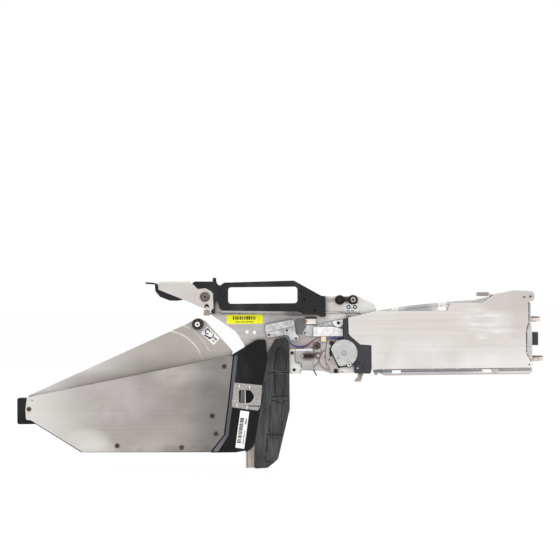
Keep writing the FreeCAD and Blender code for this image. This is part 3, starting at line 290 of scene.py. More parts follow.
@dataclass(frozen=True)
class Blot(Tint):
    """A soft patch of the cover side, at X and Z with half its width and height.

    It is an ellipse, or a box at a high power.
    """

    at: tuple[float, float, float, float] = (0.0, 0.0, 0.004, 0.004)
    power: float = 2.0
    edge: float = 0.0

    def cover(self, paint: Paint) -> Value | float:
        """How far the patch covers each point."""
        x, z, wide, tall = self.at
        along, _, up = paint.axes
        across = (abs(along - x) / wide) ** self.power
        rise = (abs(up - z) / tall) ** self.power
        return (across + rise).between(1.0, self.edge) * super().cover(paint)


@dataclass(frozen=True)
class Streak(Tint):
    """A broken line between two points of the cover side: a crease, a drag mark, or a painted shadow line
    along a step or edge.
    """

    first: Spot = (0.0, 0.0)
    last: Spot = (0.0, 0.01)
    width: float = 0.0008
    fade: float = 0.0015

    def cover(self, paint: Paint) -> Value | float:
        """How far the line covers each point."""
        along, _, up = paint.axes
        run = Vector(self.last) - Vector(self.first)
        way = run.normalized()
        half = run.length / 2
        across = abs((along - self.first[0]) * way.y - (up - self.first[1]) * way.x)
        onward = (along - self.first[0]) * way.x + (up - self.first[1]) * way.y
        inside = abs(onward - half).between(half, half - self.fade)
        broken = paint.noise(260.0, 2.0, 0.0, (self.width * 9000, 2.0, 6.0)).between(0.29, 0.43)
        return across.between(self.width, self.width * 0.4) * inside * broken * super().cover(paint)


@dataclass(frozen=True)
class Arc(Tint):
    """A thin arc round a centre on a sheet, broken up by noise and shown only to the right of a limit along
    X.
    """

    centre: Spot = (-0.478, -0.010)
    radius: float = 0.06
    width: float = 0.0010

    def cover(self, paint: Paint) -> Value | float:
        """How far the arc covers each point."""
        along, _, up = paint.axes
        across = along - self.centre[0]
        rise = up - self.centre[1]
        reach = (across * across + rise * rise) ** 0.5
        fade = paint.noise(30.0).between(0.3, 0.6)
        shown = along.between(self.centre[0] - 0.045, self.centre[0] - 0.03)
        return abs(reach - self.radius).between(self.width, 0.0) * fade * shown * super().cover(paint)


@dataclass(frozen=True)
class SheetMetal(Finish):
    """Rolled or brushed sheet: streaks along X, soft blotches, handling marks and scratches."""

    name: str
    bright: Colour
    dull: Colour
    rough: float = 0.36
    brush: float = 0.5
    scratches: float = 0.35
    blotch: float = 16.0
    shadow: float = 1.0
    # Colour of the painted shade in hollows, corners and along joints.
    occlusion_shade: Colour = (0.045, 0.040, 0.038)
    worn: Colour = (0.93, 0.91, 0.88)
    tints: tuple[Tint, ...] = ()

    def scuffs(self, paint: Paint) -> Value:
        """Fine scratches in two directions, 1 on a scratch."""
        first = paint.noise((14.0, 14.0, 1500.0), 2.0, 24.0).between(0.70, 0.76)
        second = paint.noise((18.0, 18.0, 1300.0), 2.0, -38.0, (7.0, 3.0, 1.0)).between(0.71, 0.77)
        return paint.maths("MAXIMUM", first, second) * self.scratches

    def build(self) -> bpy.types.Material:
        """Makes the material."""
        paint = Paint(self.name)
        clouds = paint.noise((self.blotch, self.blotch, self.blotch * 1.6), 4.0)
        brushed = paint.noise((4.0, 300.0, 330.0), 6.0).between(0.22, 0.78)
        tone = clouds.between(0.25, 0.75) * (1 - self.brush) + brushed * self.brush
        colour = paint.blend(tone, self.dull, self.bright)
        for tint in self.tints:
            colour = tint.lay(paint, colour)
        scuffs = self.scuffs(paint)
        streaks = paint.noise((6.0, 1400.0, 1800.0))
        grime = paint.noise(35.0, 5.0, 0.0, (2.0, 5.0, 9.0)).between(0.45, 0.85)
        colour = paint.blend(scuffs, colour, self.worn)
        # Painted shade: darker where nearby surfaces close a point in, with a tighter second pass that draws
        # fine dark lines at steps.
        colour = paint.blend((paint.crevice(0.006) * self.shadow).between(0.0, 1.0), colour, self.occlusion_shade)
        colour = paint.blend(paint.crevice(0.0016).between(0.18, 0.55) * 0.8, colour, self.occlusion_shade)
        rough = self.rough + grime * 0.14 + (streaks - 0.5) * 0.10
        return paint.feed(Base_Color=colour, Metallic=1.0, Roughness=rough,
                          Normal=paint.bump(streaks * 0.7 - scuffs, 0.00006, 0.35))


@dataclass(frozen=True)
class Turned(Finish):
    """Turned or plated metal of small parts, with a faint uneven film."""

    name: str
    colour: Colour
    film: Colour
    rough: float = 0.25
    # Colour of the painted shade in hollows and corners.
    occlusion_shade: Colour = (0.035, 0.03, 0.028)
    tints: tuple[Tint, ...] = ()

    def build(self) -> bpy.types.Material:
        """Makes the material."""
        paint = Paint(self.name)
        film = paint.noise(160.0, 4.0).between(0.35, 0.75)
        fine = paint.noise((2200.0, 500.0, 2200.0), 2.0)
        colour = paint.blend(film, self.colour, self.film)
        for tint in self.tints:
            colour = tint.lay(paint, colour)
        # Painted shade: darker where nearby surfaces close a point in.
        colour = paint.blend(paint.crevice(0.004) * 0.8, colour, self.occlusion_shade)
        return paint.feed(Base_Color=colour, Metallic=1.0, Roughness=self.rough + film * 0.15,
                          Normal=paint.bump(fine, 0.00003, 0.3))


@dataclass(frozen=True)
class Moulded(Finish):
    """Moulded plastic with a fine spark texture, drag marks and a little pale dust."""

    name: str
    colour: Colour
    dust: Colour = (0.30, 0.29, 0.28)
    dusty: float = 0.10
    rough: float = 0.50
    grain: float = 1500.0
    gloss: float = 0.2
    # Colour of the painted shade in hollows and corners.
    occlusion_shade: Colour = (0.006, 0.006, 0.006)
    tints: tuple[Tint, ...] = ()

    def build(self) -> bpy.types.Material:
        """Makes the material."""
        paint = Paint(self.name)
        grain = paint.noise(self.grain, 2.0)
        clouds = paint.noise((45.0, 45.0, 18.0), 5.0).between(0.42, 0.80)
        drags = paint.noise((900.0, 900.0, 14.0), 3.0, 8.0).between(0.66, 0.74)
        veil = clouds * self.dusty + drags * self.dusty * 0.9
        colour = paint.blend(veil, self.colour, self.dust)
        for tint in self.tints:
            colour = tint.lay(paint, colour)
        # Painted shade: darker where nearby surfaces close a point in.
        colour = paint.blend(paint.crevice(0.005) * 0.55, colour, self.occlusion_shade)
        rough = self.rough + clouds * 0.12 - drags * 0.08
        return paint.feed(Base_Color=colour, Roughness=rough, Specular_IOR_Level=self.gloss,
                          Normal=paint.bump(grain, 0.00008, 0.35))


@dataclass(frozen=True)
class Paper(Finish):
    """Printed label stock under a thin film, a little yellowed and soiled."""

    name: str
    colour: Colour
    soil: Colour
    soiled: float = 0.15
    coat: float = 0.3

    def build(self) -> bpy.types.Material:
        """Makes the material."""
        paint = Paint(self.name)
        spots = paint.noise(260.0, 5.0).between(0.50, 0.80)
        fibre = paint.noise(2500.0, 2.0)
        colour = paint.blend(spots * self.soiled, self.colour, self.soil)
        return paint.feed(Base_Color=colour, Roughness=0.42 + spots * 0.15, Coat_Weight=self.coat,
                          Specular_IOR_Level=0.3, Normal=paint.bump(fibre, 0.00002, 0.3))


PALE = (0.93, 0.915, 0.895)
DEEP = (0.10, 0.09, 0.085)
# Near-black of creases, and of painted shadow lines along steps and edges.
CREASE_AND_SHADOW = (0.004, 0.004, 0.004)
# Limits along Y that keep a mark off the far side of the bin's back plate and of the main plate.
INNER = (0.0072, 0.0067)
ON_PLATE = (0.0090, 0.0080)


def lines(colour: Colour, share: float, width: float, *points: Spot) -> tuple[Streak, ...]:
    """Lines from each point to the next, in millimetres, as along a joint or a crease, or as painted shadow
    along a step or edge.
    """
    places = [(x * MM, z * MM) for x, z in points]
    return tuple(Streak(colour, share, first=first, last=last, width=width * MM)
                 for first, last in zip(places, places[1:]))


class Metal(Enum):
    """Metal finishes of the feeder."""

    COVER = SheetMetal("brushed_cover", (0.82, 0.785, 0.76), (0.68, 0.64, 0.61), 0.40, 0.5, 0.2, 9.0, tints=(
        Tint(PALE, 0.55, up=(0.050, -0.012), patches=14.0), Tint(PALE, 0.45, (-0.12, -0.05), up=(0.02, 0.0)),
        Blot(PALE, 0.9, patches=120.0, stretch=0.16, at=(-0.066, 0.052, 0.034, 0.020)),
        Blot(PALE, 0.9, patches=150.0, stretch=0.16, at=(-0.040, 0.030, 0.040, 0.012)),
        Tint((0.64, 0.59, 0.565), 0.85, (-0.080, -0.045), up=(0.054, 0.066)),
        Tint((0.60, 0.55, 0.52), 0.45, (-0.034, -0.020), up=(0.020, 0.030)),
        *lines((0.04, 0.04, 0.045), 0.95, 0.9, (-4.5, 74.0), (-4.6, 47.4), (-7.9, 36.2), (-8.2, 7.0),
               (-1.9, -4.0)),
        # A small painted highlight beside a darker spot.
        Blot((0.98, 0.97, 0.95), 0.95, at=(-0.1308, 0.0190, 0.0009, 0.0022)),
        Blot((0.52, 0.48, 0.46), 0.7, at=(-0.1296, 0.0196, 0.0007, 0.0020)),
        *lines((0.08, 0.08, 0.08), 0.7, 0.6, (-203.0, -12.1), (-1.0, -12.1))))
    LEVER = SheetMetal("satin_lever", (0.73, 0.70, 0.665), (0.60, 0.565, 0.53), 0.42, 0.25, 0.15, 22.0)
    CHANNEL = SheetMetal("channel_sheet", (0.66, 0.57, 0.51), (0.52, 0.45, 0.40), 0.40, 0.3, 0.2, 40.0, 0.6,
                         tints=lines((0.20, 0.17, 0.15), 0.8, 0.5, (-366.4, -112.0), (-366.0, -139.0)))
    PLATE = SheetMetal("satin_plate", (0.66, 0.63, 0.605), (0.48, 0.45, 0.43),
                       0.38, 0.5, 0.3, 26.0, 0.8, tints=(
        Blot((0.29, 0.26, 0.25), 0.5, deep=ON_PLATE, at=(-0.316, 0.046, 0.036, 0.050), power=3.0),
        Tint((0.80, 0.78, 0.75), 0.8, (-0.268, -0.258), ON_PLATE, (0.046, 0.054)),
        Tint((0.80, 0.79, 0.77), 0.6, (-0.228, -0.212), ON_PLATE, (0.052, 0.06)),
        Blot((0.16, 0.155, 0.165), 0.9, deep=ON_PLATE, at=(-0.301, 0.0445, 0.0075, 0.0115),
             power=5.0, edge=0.4),
        Blot((0.40, 0.43, 0.49), 0.7, deep=ON_PLATE, patches=70.0, at=(-0.354, 0.036, 0.014, 0.013)),
        Blot((0.56, 0.43, 0.36), 0.6, deep=ON_PLATE, at=(-0.336, 0.029, 0.012, 0.006)),
        Blot((0.48, 0.39, 0.35), 0.6, deep=ON_PLATE, patches=80.0, at=(-0.300, 0.027, 0.018, 0.008)),
        Blot(PALE, 0.9, deep=ON_PLATE, at=(-0.240, -0.0140, 0.011, 0.0055), power=5.0, edge=0.5),
        # Painted shadow below the carry handle.
        Blot((0.13, 0.13, 0.135), 0.9, deep=ON_PLATE, at=(-0.306, 0.062, 0.022, 0.006)),
        Blot((0.46, 0.36, 0.30), 0.8, deep=ON_PLATE, at=(-0.260, 0.078, 0.0062, 0.0034), power=4.0),
        Blot((0.56, 0.50, 0.46), 0.4, deep=ON_PLATE, at=(-0.254, 0.066, 0.014, 0.012)),
        Blot((0.42, 0.36, 0.31), 0.7, deep=ON_PLATE, patches=60.0, at=(-0.272, 0.050, 0.014, 0.008))))
    TRACK = SheetMetal("milled_track", (0.74, 0.72, 0.70), (0.54, 0.53, 0.53),
                       0.32, 0.6, 0.3, 40.0, 0.7, tints=(
        *(Blot(PALE, 0.95, at=(spot * MM, 0.068, half * MM, 0.012), power=8.0, edge=0.8)
          for spot, half in ((-180.2, 2.0), (-175.6, 2.2), (-120.6, 1.4), (-117.4, 1.2), (-113.6, 2.0))),
        Blot((0.34, 0.34, 0.355), 0.6, at=(-0.148, 0.066, 0.020, 0.008), power=4.0)))
    RAIL = SheetMetal("milled_rail", (0.70, 0.70, 0.72), (0.44, 0.445, 0.47),
                      0.30, 0.6, 0.3, 34.0, 0.6, tints=(
        Tint(PALE, 0.5, (-0.11, -0.05)), Tint((0.60, 0.48, 0.40), 0.85, up=(-0.0184, -0.0194)),
        Tint((0.30, 0.29, 0.29), 0.7, (-0.192, -0.196)),
        *lines(DEEP, 0.7, 0.5, (-200.0, -14.6), (-2.0, -14.6))))
    BIN_COVER = SheetMetal("bin_cover_sheet", (0.53, 0.495, 0.46), (0.37, 0.345, 0.325), 0.42, 0.25,
                           0.22, 14.0, tints=(
        # Painted light and shade: lighter towards the left tip, darker towards the right, the lower right
        # and the bottom.
        Tint((0.86, 0.84, 0.81), 0.72, (-0.54, -0.66)),
        Blot((0.82, 0.80, 0.78), 0.5, at=(-0.578, -0.100, 0.034, 0.018)),
        Blot((0.56, 0.52, 0.55), 0.55, patches=26.0, at=(-0.545, -0.050, 0.070, 0.045)),
        Blot((0.64, 0.61, 0.58), 0.45, patches=30.0, at=(-0.463, -0.012, 0.040, 0.022)),
        Tint(DEEP, 0.25, (-0.50, -0.42), patches=18.0),
        Tint(DEEP, 0.42, (-0.475, -0.418), up=(-0.012, -0.034)),
        Tint((0.15, 0.155, 0.165), 0.38, (-0.450, -0.405)),
        Tint(DEEP, 0.30, (-0.545, -0.500), up=(-0.103, -0.113), patches=40.0),
        Blot((0.82, 0.79, 0.75), 0.55, at=(-0.568, -0.112, 0.034, 0.018))))
    BIN_BACK = SheetMetal("bin_back_sheet", (0.52, 0.485, 0.45), (0.42, 0.39, 0.365), 0.40, 0.25,
                          0.18, 18.0, tints=(
        # Painted shade: darker towards the bottom and in a band near the bin cover's upper edge; painted
        # light towards the left tip.
        Tint(DEEP, 0.30, up=(0.018, -0.012)), Tint((0.86, 0.84, 0.81), 0.64, (-0.500, -0.590)),
        Blot((0.30, 0.265, 0.245), 0.55, deep=INNER, at=(-0.560, -0.026, 0.075, 0.019)),
        Arc(PALE, 0.85, deep=INNER, radius=0.0625, width=0.0016),
        Arc(PALE, 0.7, deep=INNER, radius=0.0505, width=0.0016),
        Arc((0.55, 0.42, 0.33), 0.4, deep=INNER, radius=0.0575, width=0.0018)))
    ZINC = SheetMetal("zinc_plating", (0.64, 0.64, 0.645), (0.48, 0.48, 0.49),
                      0.40, 0.15, 0.25, 60.0, 0.7, tints=(
        Tint((0.90, 0.91, 0.93), 0.5, patches=190.0),
        Tint((0.30, 0.30, 0.32), 0.4, patches=130.0, stretch=0.6)))
    NICKEL = SheetMetal("nickel_plating", (0.90, 0.885, 0.855), (0.70, 0.685, 0.655), 0.36, 0.2, 0.2,
                        60.0, 0.6)
    WINDOW = SheetMetal("window_sheet", (0.70, 0.67, 0.635), (0.54, 0.50, 0.47), 0.36, 0.3, 0.2, 40.0,
                        tints=(Tint((0.32, 0.27, 0.235), 0.85, (-0.055, -0.058)),))
    PEEL = SheetMetal("peel_cover_sheet", (0.60, 0.595, 0.58), (0.42, 0.405, 0.395), 0.38, 0.3, 0.3, 50.0,
                      0.7, tints=(
        # Painted highlight along the top edge, painted shadow lines along the lower edge and its step, and a
        # painted shadow under the spring.
        Tint(PALE, 0.9, up=(0.0125, 0.0135)),
        *lines(CREASE_AND_SHADOW, 0.8, 0.7, (-308.0, -1.6), (-300.2, -2.4), (-299.8, -10.0)),
        Blot(DEEP, 0.8, at=(-0.291, 0.0060, 0.012, 0.008))))
    FLANGE = SheetMetal("flange_sheet", (0.60, 0.555, 0.535), (0.44, 0.40, 0.38), 0.40, 0.2, 0.25, 60.0, 0.8,
                        tints=(Tint(PALE, 0.7, (-0.2505, -0.2485), up=(-0.0095, -0.0115)),
                               Blot(DEEP, 0.6, patches=120.0, at=(-0.262, 0.0, 0.004, 0.003)),
                               # Painted shadow lines along the flange's left edge and its lower corner.
                               *lines(CREASE_AND_SHADOW, 0.9, 0.5, (-268.3, 22.0), (-268.3, -2.0), (-262.0, -12.0))))
    CAN = SheetMetal("motor_can", (0.68, 0.69, 0.68), (0.54, 0.55, 0.54), 0.38, 0.15, 0.2, 90.0, 0.6, tints=(
        Blot((0.22, 0.22, 0.20), 0.85, patches=150.0, at=(-0.2517, 0.0052, 0.0036, 0.0046)),))
    STAINLESS = SheetMetal("stainless_latch", (0.56, 0.535, 0.515), (0.40, 0.38, 0.365), 0.34, 0.3, 0.5,
                           30.0, tints=(Tint((0.12, 0.11, 0.10), 0.35, patches=420.0),))
    STEEL = Turned("bright_steel", (0.66, 0.64, 0.61), (0.45, 0.42, 0.39))
    # Painted highlight: near-white metal laid on beads, tabs, rims and edges where light catches them.
    PAINTED_HIGHLIGHT = Turned("painted_highlight_metal", (0.95, 0.94, 0.90), (0.86, 0.84, 0.80), 0.2)
    POSTS = Turned("pin_steel", (0.66, 0.64, 0.61), (0.45, 0.42, 0.39), tints=(
        Tint((0.012, 0.012, 0.012), 1.0, (-0.2788, -0.2792), up=(-0.0127, -0.0129)),))
    PIN = Turned("pin_brown_tint", (0.80, 0.72, 0.66), (0.50, 0.41, 0.36), 0.20, tints=tuple(
        # Painted shade over the upper half of each locating pin.
        Blot((0.14, 0.09, 0.07), 0.8, at=(0.007, axis * MM, 0.014, 0.0016), power=4.0)
        for axis in (2.4, 53.5)))
    BRONZE = Turned("oiled_bronze", (0.50, 0.42, 0.35), (0.34, 0.27, 0.22), 0.34)
    ROSE = Turned("pink_plating", (0.58, 0.53, 0.51), (0.44, 0.39, 0.37), 0.32)
    TAUPE = Turned("brown_plating", (0.26, 0.215, 0.19), (0.15, 0.12, 0.105), 0.32)
    UMBER = Turned("dark_plating", (0.11, 0.085, 0.075), (0.06, 0.048, 0.042), 0.34)
    # Black steel of screws, also used for painted shade: black discs in bores and holes, and dark sheets
    # behind rims, under tabs and round the motor.
    BLACK_AND_SHADE = Turned("black_steel_and_painted_shade", (0.030, 0.028, 0.027), (0.07, 0.062, 0.056), 0.38)
    SPRING = Turned("spring_wire", (0.12, 0.078, 0.062), (0.045, 0.03, 0.025), 0.36)


class Plastic(Enum):
    """Plastic and rubber finishes."""

    HANDLE = Moulded("handle_black", (0.016, 0.016, 0.017), dusty=0.08, rough=0.46)
    BIN = Moulded("bin_black", (0.006, 0.006, 0.0068), dusty=0.06, rough=0.42, gloss=0.18, tints=(
        Tint((0.030, 0.031, 0.036), 0.7, (-0.375, -0.364), up=(-0.092, -0.108), patches=30.0),
        *lines(CREASE_AND_SHADOW, 0.9, 0.9, (-381.0, -22.5), (-352.0, -24.5))))
    # Painted light: a lighter copy of the black moulding for its sloping left band, lighter still towards
    # the bottom.
    BAND = Moulded("band_painted_light", (0.090, 0.090, 0.108), dusty=0.08, rough=0.42, tints=(
        Tint((0.20, 0.20, 0.22), 0.6, up=(-0.092, -0.110)),))
    GRIP = Moulded("grip_grey", (0.15, 0.15, 0.15), dusty=0.15, rough=0.44)
    CHUTE = Moulded("chute_grey", (0.047, 0.047, 0.049), dusty=0.17, rough=0.50, tints=(
        Tint((0.105, 0.105, 0.106), 0.5, up=(-0.052, -0.066), patches=34.0),
        # Painted shade: darker in the upper recess panel, and across the top.
        Tint((0.018, 0.018, 0.019), 0.6, deep=(-0.00905, -0.0088), up=(-0.052, -0.044)),
        Tint((0.016, 0.016, 0.017), 0.75, up=(-0.012, 0.008)),
        Tint((0.028, 0.028, 0.029), 0.6, up=(-0.112, -0.134), patches=50.0),
        Tint((0.11, 0.11, 0.112), 0.25, patches=55.0, stretch=12.0),
        Tint((0.014, 0.014, 0.015), 0.4, patches=38.0, stretch=11.0),
        # Dark lines: drag marks, and painted shadow along the edges of the recess panels.
        *lines(CREASE_AND_SHADOW, 0.95, 0.9, (-344.0, -15.1), (-316.0, -14.6)),
        *lines(CREASE_AND_SHADOW, 0.95, 1.2, (-341.0, -46.0), (-317.0, -45.0)),
        *lines(CREASE_AND_SHADOW, 0.95, 1.1, (-340.0, -50.0), (-326.0, -54.0), (-317.6, -50.5)),
        *lines(CREASE_AND_SHADOW, 0.95, 1.2, (-347.0, -94.8), (-324.8, -95.6)),
        *lines(CREASE_AND_SHADOW, 0.8, 0.9, (-341.2, -57.0), (-343.2, -92.0)),
        *lines(CREASE_AND_SHADOW, 0.9, 1.0, (-345.2, -98.5), (-348.6, -130.0), (-334.0, -131.5)),
        *lines(CREASE_AND_SHADOW, 0.8, 0.8, (-325.6, -58.0), (-326.6, -92.0), (-331.6, -120.0)),
        *lines(CREASE_AND_SHADOW, 0.9, 0.9, (-324.0, 20.5), (-332.4, 15.0), (-335.0, -12.0), (-335.2, -43.0))))
    BLUE_GREY = Moulded("bracket_blue_grey", (0.044, 0.043, 0.050), dusty=0.06, rough=0.48)
    RUBBER = Moulded("roller_rubber", (0.012, 0.011, 0.011), dusty=0.10, rough=0.62, grain=2200.0)
    KNURL = Moulded("knurl_grey", (0.16, 0.15, 0.145), dusty=0.3, rough=0.5)
    SENSOR = Moulded("sensor_white", (0.88, 0.87, 0.85), (0.60, 0.56, 0.52), 0.16, 0.40, gloss=0.5, tints=(
        Tint((0.42, 0.46, 0.62), 0.4, patches=260.0),
        Tint((0.46, 0.34, 0.28), 0.3, patches=190.0, stretch=1.6)))
    WHITE = Moulded("white_nylon", (0.86, 0.85, 0.83), (0.60, 0.56, 0.52), 0.16, 0.40, gloss=0.5)
    BEIGE = Moulded("beige_nylon", (0.78, 0.66, 0.42), (0.60, 0.50, 0.34), 0.2, 0.38, gloss=0.5)
    ORANGE = Moulded("orange_insert", (0.72, 0.26, 0.07), (0.5, 0.3, 0.2), 0.1, 0.4)
    BOARD = Moulded("board_green", (0.03, 0.16, 0.08), (0.10, 0.25, 0.14), 0.3, 0.35)
    WIRE_RED = Moulded("wire_red", (0.48, 0.07, 0.06), (0.6, 0.4, 0.4), 0.10, 0.42, gloss=0.5)
    WIRE_BLUE = Moulded("wire_blue", (0.03, 0.07, 0.34), (0.3, 0.35, 0.6), 0.10, 0.42, gloss=0.5)
    WIRE_PURPLE = Moulded("wire_purple", (0.13, 0.07, 0.36), (0.35, 0.3, 0.5), 0.10, 0.42, gloss=0.5)
    WIRE_BLACK = Moulded("wire_black", (0.012, 0.012, 0.014), (0.3, 0.3, 0.3), 0.08, 0.42, gloss=0.5)
    WIRE_WHITE = Moulded("wire_white", (0.62, 0.60, 0.60), (0.4, 0.4, 0.4), 0.1, 0.42, gloss=0.5)


class Print(Enum):
    """Labels and inks."""

    YELLOW = Paper("label_yellow", (0.98, 0.98, 0.010), (0.80, 0.70, 0.05), 0.06, 0.1)
    WHITE = Paper("label_white", (0.90, 0.90, 0.89), (0.60, 0.58, 0.54), 0.12)
    # Painted light: a lighter copy of the white label stock, for the lobe label that lies in shade.
    SHINING = Paper("label_shining", (0.99, 0.99, 0.985), (0.90, 0.89, 0.87), 0.05)
    INK = Paper("ink_black", (0.008, 0.008, 0.010), (0.05, 0.045, 0.045), 0.2, 0.0)
    BROWN_INK = Paper("ink_brown", (0.050, 0.032, 0.012), (0.12, 0.09, 0.03), 0.2, 0.0)


# Pieces


def add_object(name: str, data: bpy.types.ID) -> bpy.types.Object:
    """Links a mesh, curve, lamp or camera into the scene as an object at the origin."""
    made = bpy.data.objects.new(name, data)
    bpy.context.scene.collection.objects.link(made)
    return made


def plain_mesh(piece: bpy.types.Object) -> bpy.types.Mesh:
    """The mesh that an object and its modifiers give."""
    graph = bpy.context.evaluated_depsgraph_get()
    return bpy.data.meshes.new_from_object(piece.evaluated_get(graph), depsgraph=graph)


def flatten(piece: bpy.types.Object) -> None:
    """Turns a piece and its modifiers into a plain mesh."""
    mesh = plain_mesh(piece)
    piece.modifiers.clear()
    piece.data = mesh


def shade(piece: bpy.types.Object, angle: float) -> None:
    """Smooth shading with edges sharper than the angle, in degrees, kept sharp."""
    piece.data.shade_smooth()
    piece.data.set_sharp_from_angle(angle=math.radians(angle))


def dress(piece: bpy.types.Object, finish: Enum) -> None:
    """Gives an object a finish as its one material."""
    piece.data.materials.clear()
    piece.data.materials.append(finish.value.material())
    LOG.info("%s is in %s, with %d faces", piece.name, finish.value.name, len(piece.data.polygons))


def register(piece: bpy.types.Object, finish: Enum, node: str) -> bpy.types.Object:
    """Gives a finished piece its material, and the body of one of the frame's nodes."""
    dress(piece, finish)
    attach(piece, BODY_OF[node])
    return piece


def soften(node: str, finish: Enum, width: float, steps: int = 2) -> None:
    """Replaces a node by a copy of its shape whose edges are broken.

    Args:
        node: the frame's node.
        finish: what the piece is made of.
        width: width of the broken edge in millimetres.
        steps: faces across the broken edge.
    """
    work = bmesh.new()
    work.from_mesh(frame["nodes"][node].data)
    bmesh.ops.remove_doubles(work, verts=work.verts, dist=2e-6)
    bmesh.ops.dissolve_degenerate(work, edges=work.edges, dist=1e-6)
    bmesh.ops.dissolve_limit(work, angle_limit=math.radians(0.4), verts=work.verts, edges=work.edges)
    mesh = bpy.data.meshes.new(node + "_shape")
    work.to_mesh(mesh)
    work.free()
    piece = add_object(node + "_finished", mesh)
    bevel = piece.modifiers.new("Edges", "BEVEL")
    bevel.width = width * MM
    bevel.segments = steps
    bevel.limit_method = "ANGLE"
    bevel.angle_limit = math.radians(40)
    piece.modifiers.new("Normals", "WEIGHTED_NORMAL").keep_sharp = True
    shade(piece, 60.0)
    flatten(piece)
    register(piece, finish, node)
    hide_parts(node)


def rounded(corners: Outline, steps: int = 6) -> list[Spot]:
    """An outline whose (x, z, round) corners are turned into arcs, in millimetres."""
    points: list[Spot] = []
    for index, corner in enumerate(corners):
        here = Vector(corner[:2])
        if len(corner) < 3:
            points.append(tuple(here))
            continue
        back = (Vector(corners[index - 1][:2]) - here).normalized()
        onward = (Vector(corners[(index + 1) % len(corners)][:2]) - here).normalized()
        half = back.angle(onward) / 2
        centre = here + (back + onward).normalized() * (corner[2] / math.sin(half))
        start = here + back * (corner[2] / math.tan(half)) - centre
        sweep = (here + onward * (corner[2] / math.tan(half)) - centre).angle_signed(start)
        for step in range(steps + 1):
            turned = Matrix.Rotation(sweep * step / steps, 2) @ start
            points.append(tuple(centre + turned))
    return points


def ended(name: str, finish: Enum, node: str, work: bmesh.types.BMesh) -> bpy.types.Object:
    """Ends a mesh being made as a piece, with its faces turned outwards."""
    bmesh.ops.recalc_face_normals(work, faces=work.faces)
    mesh = bpy.data.meshes.new(name)
    work.to_mesh(mesh)
    work.free()
    piece = add_object(name, mesh)
    shade(piece, 32.0)
    return register(piece, finish, node)


def slab(name: str, finish: Enum, node: str, outlines: list[Outline], front: float, back: float,
         centre: Spot = (0.0, 0.0), turn: float = 0.0) -> None:
    """Makes a piece of one or more closed prisms between two Y faces.

    Args:
        name: the piece's name.
        finish: what it is made of.
        node: the node whose body it shares.
        outlines: corners (x, z) or (x, z, round) of each prism in millimetres.
        front: the face at lower Y.
        back: the face at higher Y.
        centre: where the outlines' zero lies.
        turn: turn about Y at the centre, in degrees, positive from X towards Z.
    """
    work = bmesh.new()
    swing = Matrix.Rotation(math.radians(turn), 2)
    for corners in outlines:
        spun = [swing @ Vector(point) + Vector(centre) for point in rounded(corners)]
        near, far = ([work.verts.new((spot.x * MM, y * MM, spot.y * MM)) for spot in spun]
                     for y in (front, back))
        work.faces.new(near)
        work.faces.new(far[::-1])
        for index in range(len(spun)):
            work.faces.new((near[index - 1], far[index - 1], far[index], near[index]))
    ended(name, finish, node, work)


def lathe(name: str, finish: Enum, node: str, centre: Spot, front: float, profile: list[Spot],
          steps: int = 48, sockets: int = 0) -> bpy.types.Object:
    """Makes a turned piece about an axis along Y.

    Args:
        name: the piece's name.
        finish: what it is made of.
        node: the node whose body it shares.
        centre: X and Z of the axis in millimetres.
        front: the place along Y that the profile is measured from.
        profile: (radius, y) corners from one end of the axis to the other, in millimetres.
        steps: faces round the axis.
        sockets: sides of a hexagon or other socket that the innermost ring is drawn to.

    Returns:
        The new piece.
    """
    work = bmesh.new()
    rings = []
    for radius, y in profile:
        row = []
        for step in range(steps if radius else 1):
            angle = 2 * math.pi * step / steps
            reach = radius
            if sockets and radius <= profile[1][0]:
                side = math.pi / sockets
                reach = radius * math.cos(side) / math.cos((angle % (2 * side)) - side)
            row.append(work.verts.new(((centre[0] + reach * math.cos(angle)) * MM, (front + y) * MM,
                                       (centre[1] + reach * math.sin(angle)) * MM)))
        rings.append(row)
    for first, second in zip(rings, rings[1:]):
        for step in range(steps):
            after = (step + 1) % steps
            corners = [first[step % len(first)], first[after % len(first)],
                       second[after % len(second)], second[step % len(second)]]
            unique = list(dict.fromkeys(corners))
            if len(unique) > 2:
                work.faces.new(unique)
    return ended(name, finish, node, work)


# Outlines


def box(left: float, low: float, right: float, high: float, *round_off: float) -> Outline:
    """An upright box, with rounded corners where a radius is given."""
    corners = ((left, low), (right, low), (right, high), (left, high))
    return [(*corner, *round_off) for corner in corners]


def arc(centre: Spot, radius: float, start: float, sweep: float, steps: int) -> Outline:
    """Points along an arc, from the angle it starts at and through a sweep in degrees."""
    turns = [math.radians(start + sweep * step / steps) for step in range(steps + 1)]
    return [(centre[0] + radius * math.cos(turn), centre[1] + radius * math.sin(turn)) for turn in turns]


def ring(centre: Spot, outer: float, inner: float, sweep: float = 360.0, start: float = 0.0,
         steps: int = 24) -> Outline:
    """A band round a centre; a whole turn stops just short and leaves a hairline."""
    sweep = min(sweep, 359.0)
    return arc(centre, outer, start, sweep, steps) + arc(centre, inner, start, sweep, steps)[::-1]


def arrow(tail: Spot, tip: Spot, width: float) -> Outline:
    """A plain straight arrow."""
    start, end = Vector(tail), Vector(tip)
    along = (end - start).normalized()
    side = Vector((-along.y, along.x)) * width
    neck = end - along * width * 1.6
    points = [start + side / 2, neck + side / 2, neck + side * 1.25, end,
              neck - side * 1.25, neck - side / 2, start - side / 2]
    return [tuple(point) for point in points][::-1]


def dots(name: str, finish: Enum, node: str, spots: list[Spot], radius: float, front: float,
         back: float) -> None:
    """Makes a piece of round studs, or of black discs that paint the shade inside bores and holes, one at
    each spot, in millimetres.
    """
    discs = [arc(spot, radius, 0.0, 360.0, 20)[:-1] for spot in spots]
    slab(name, finish, node, discs, front, back)


# Geometry node trees


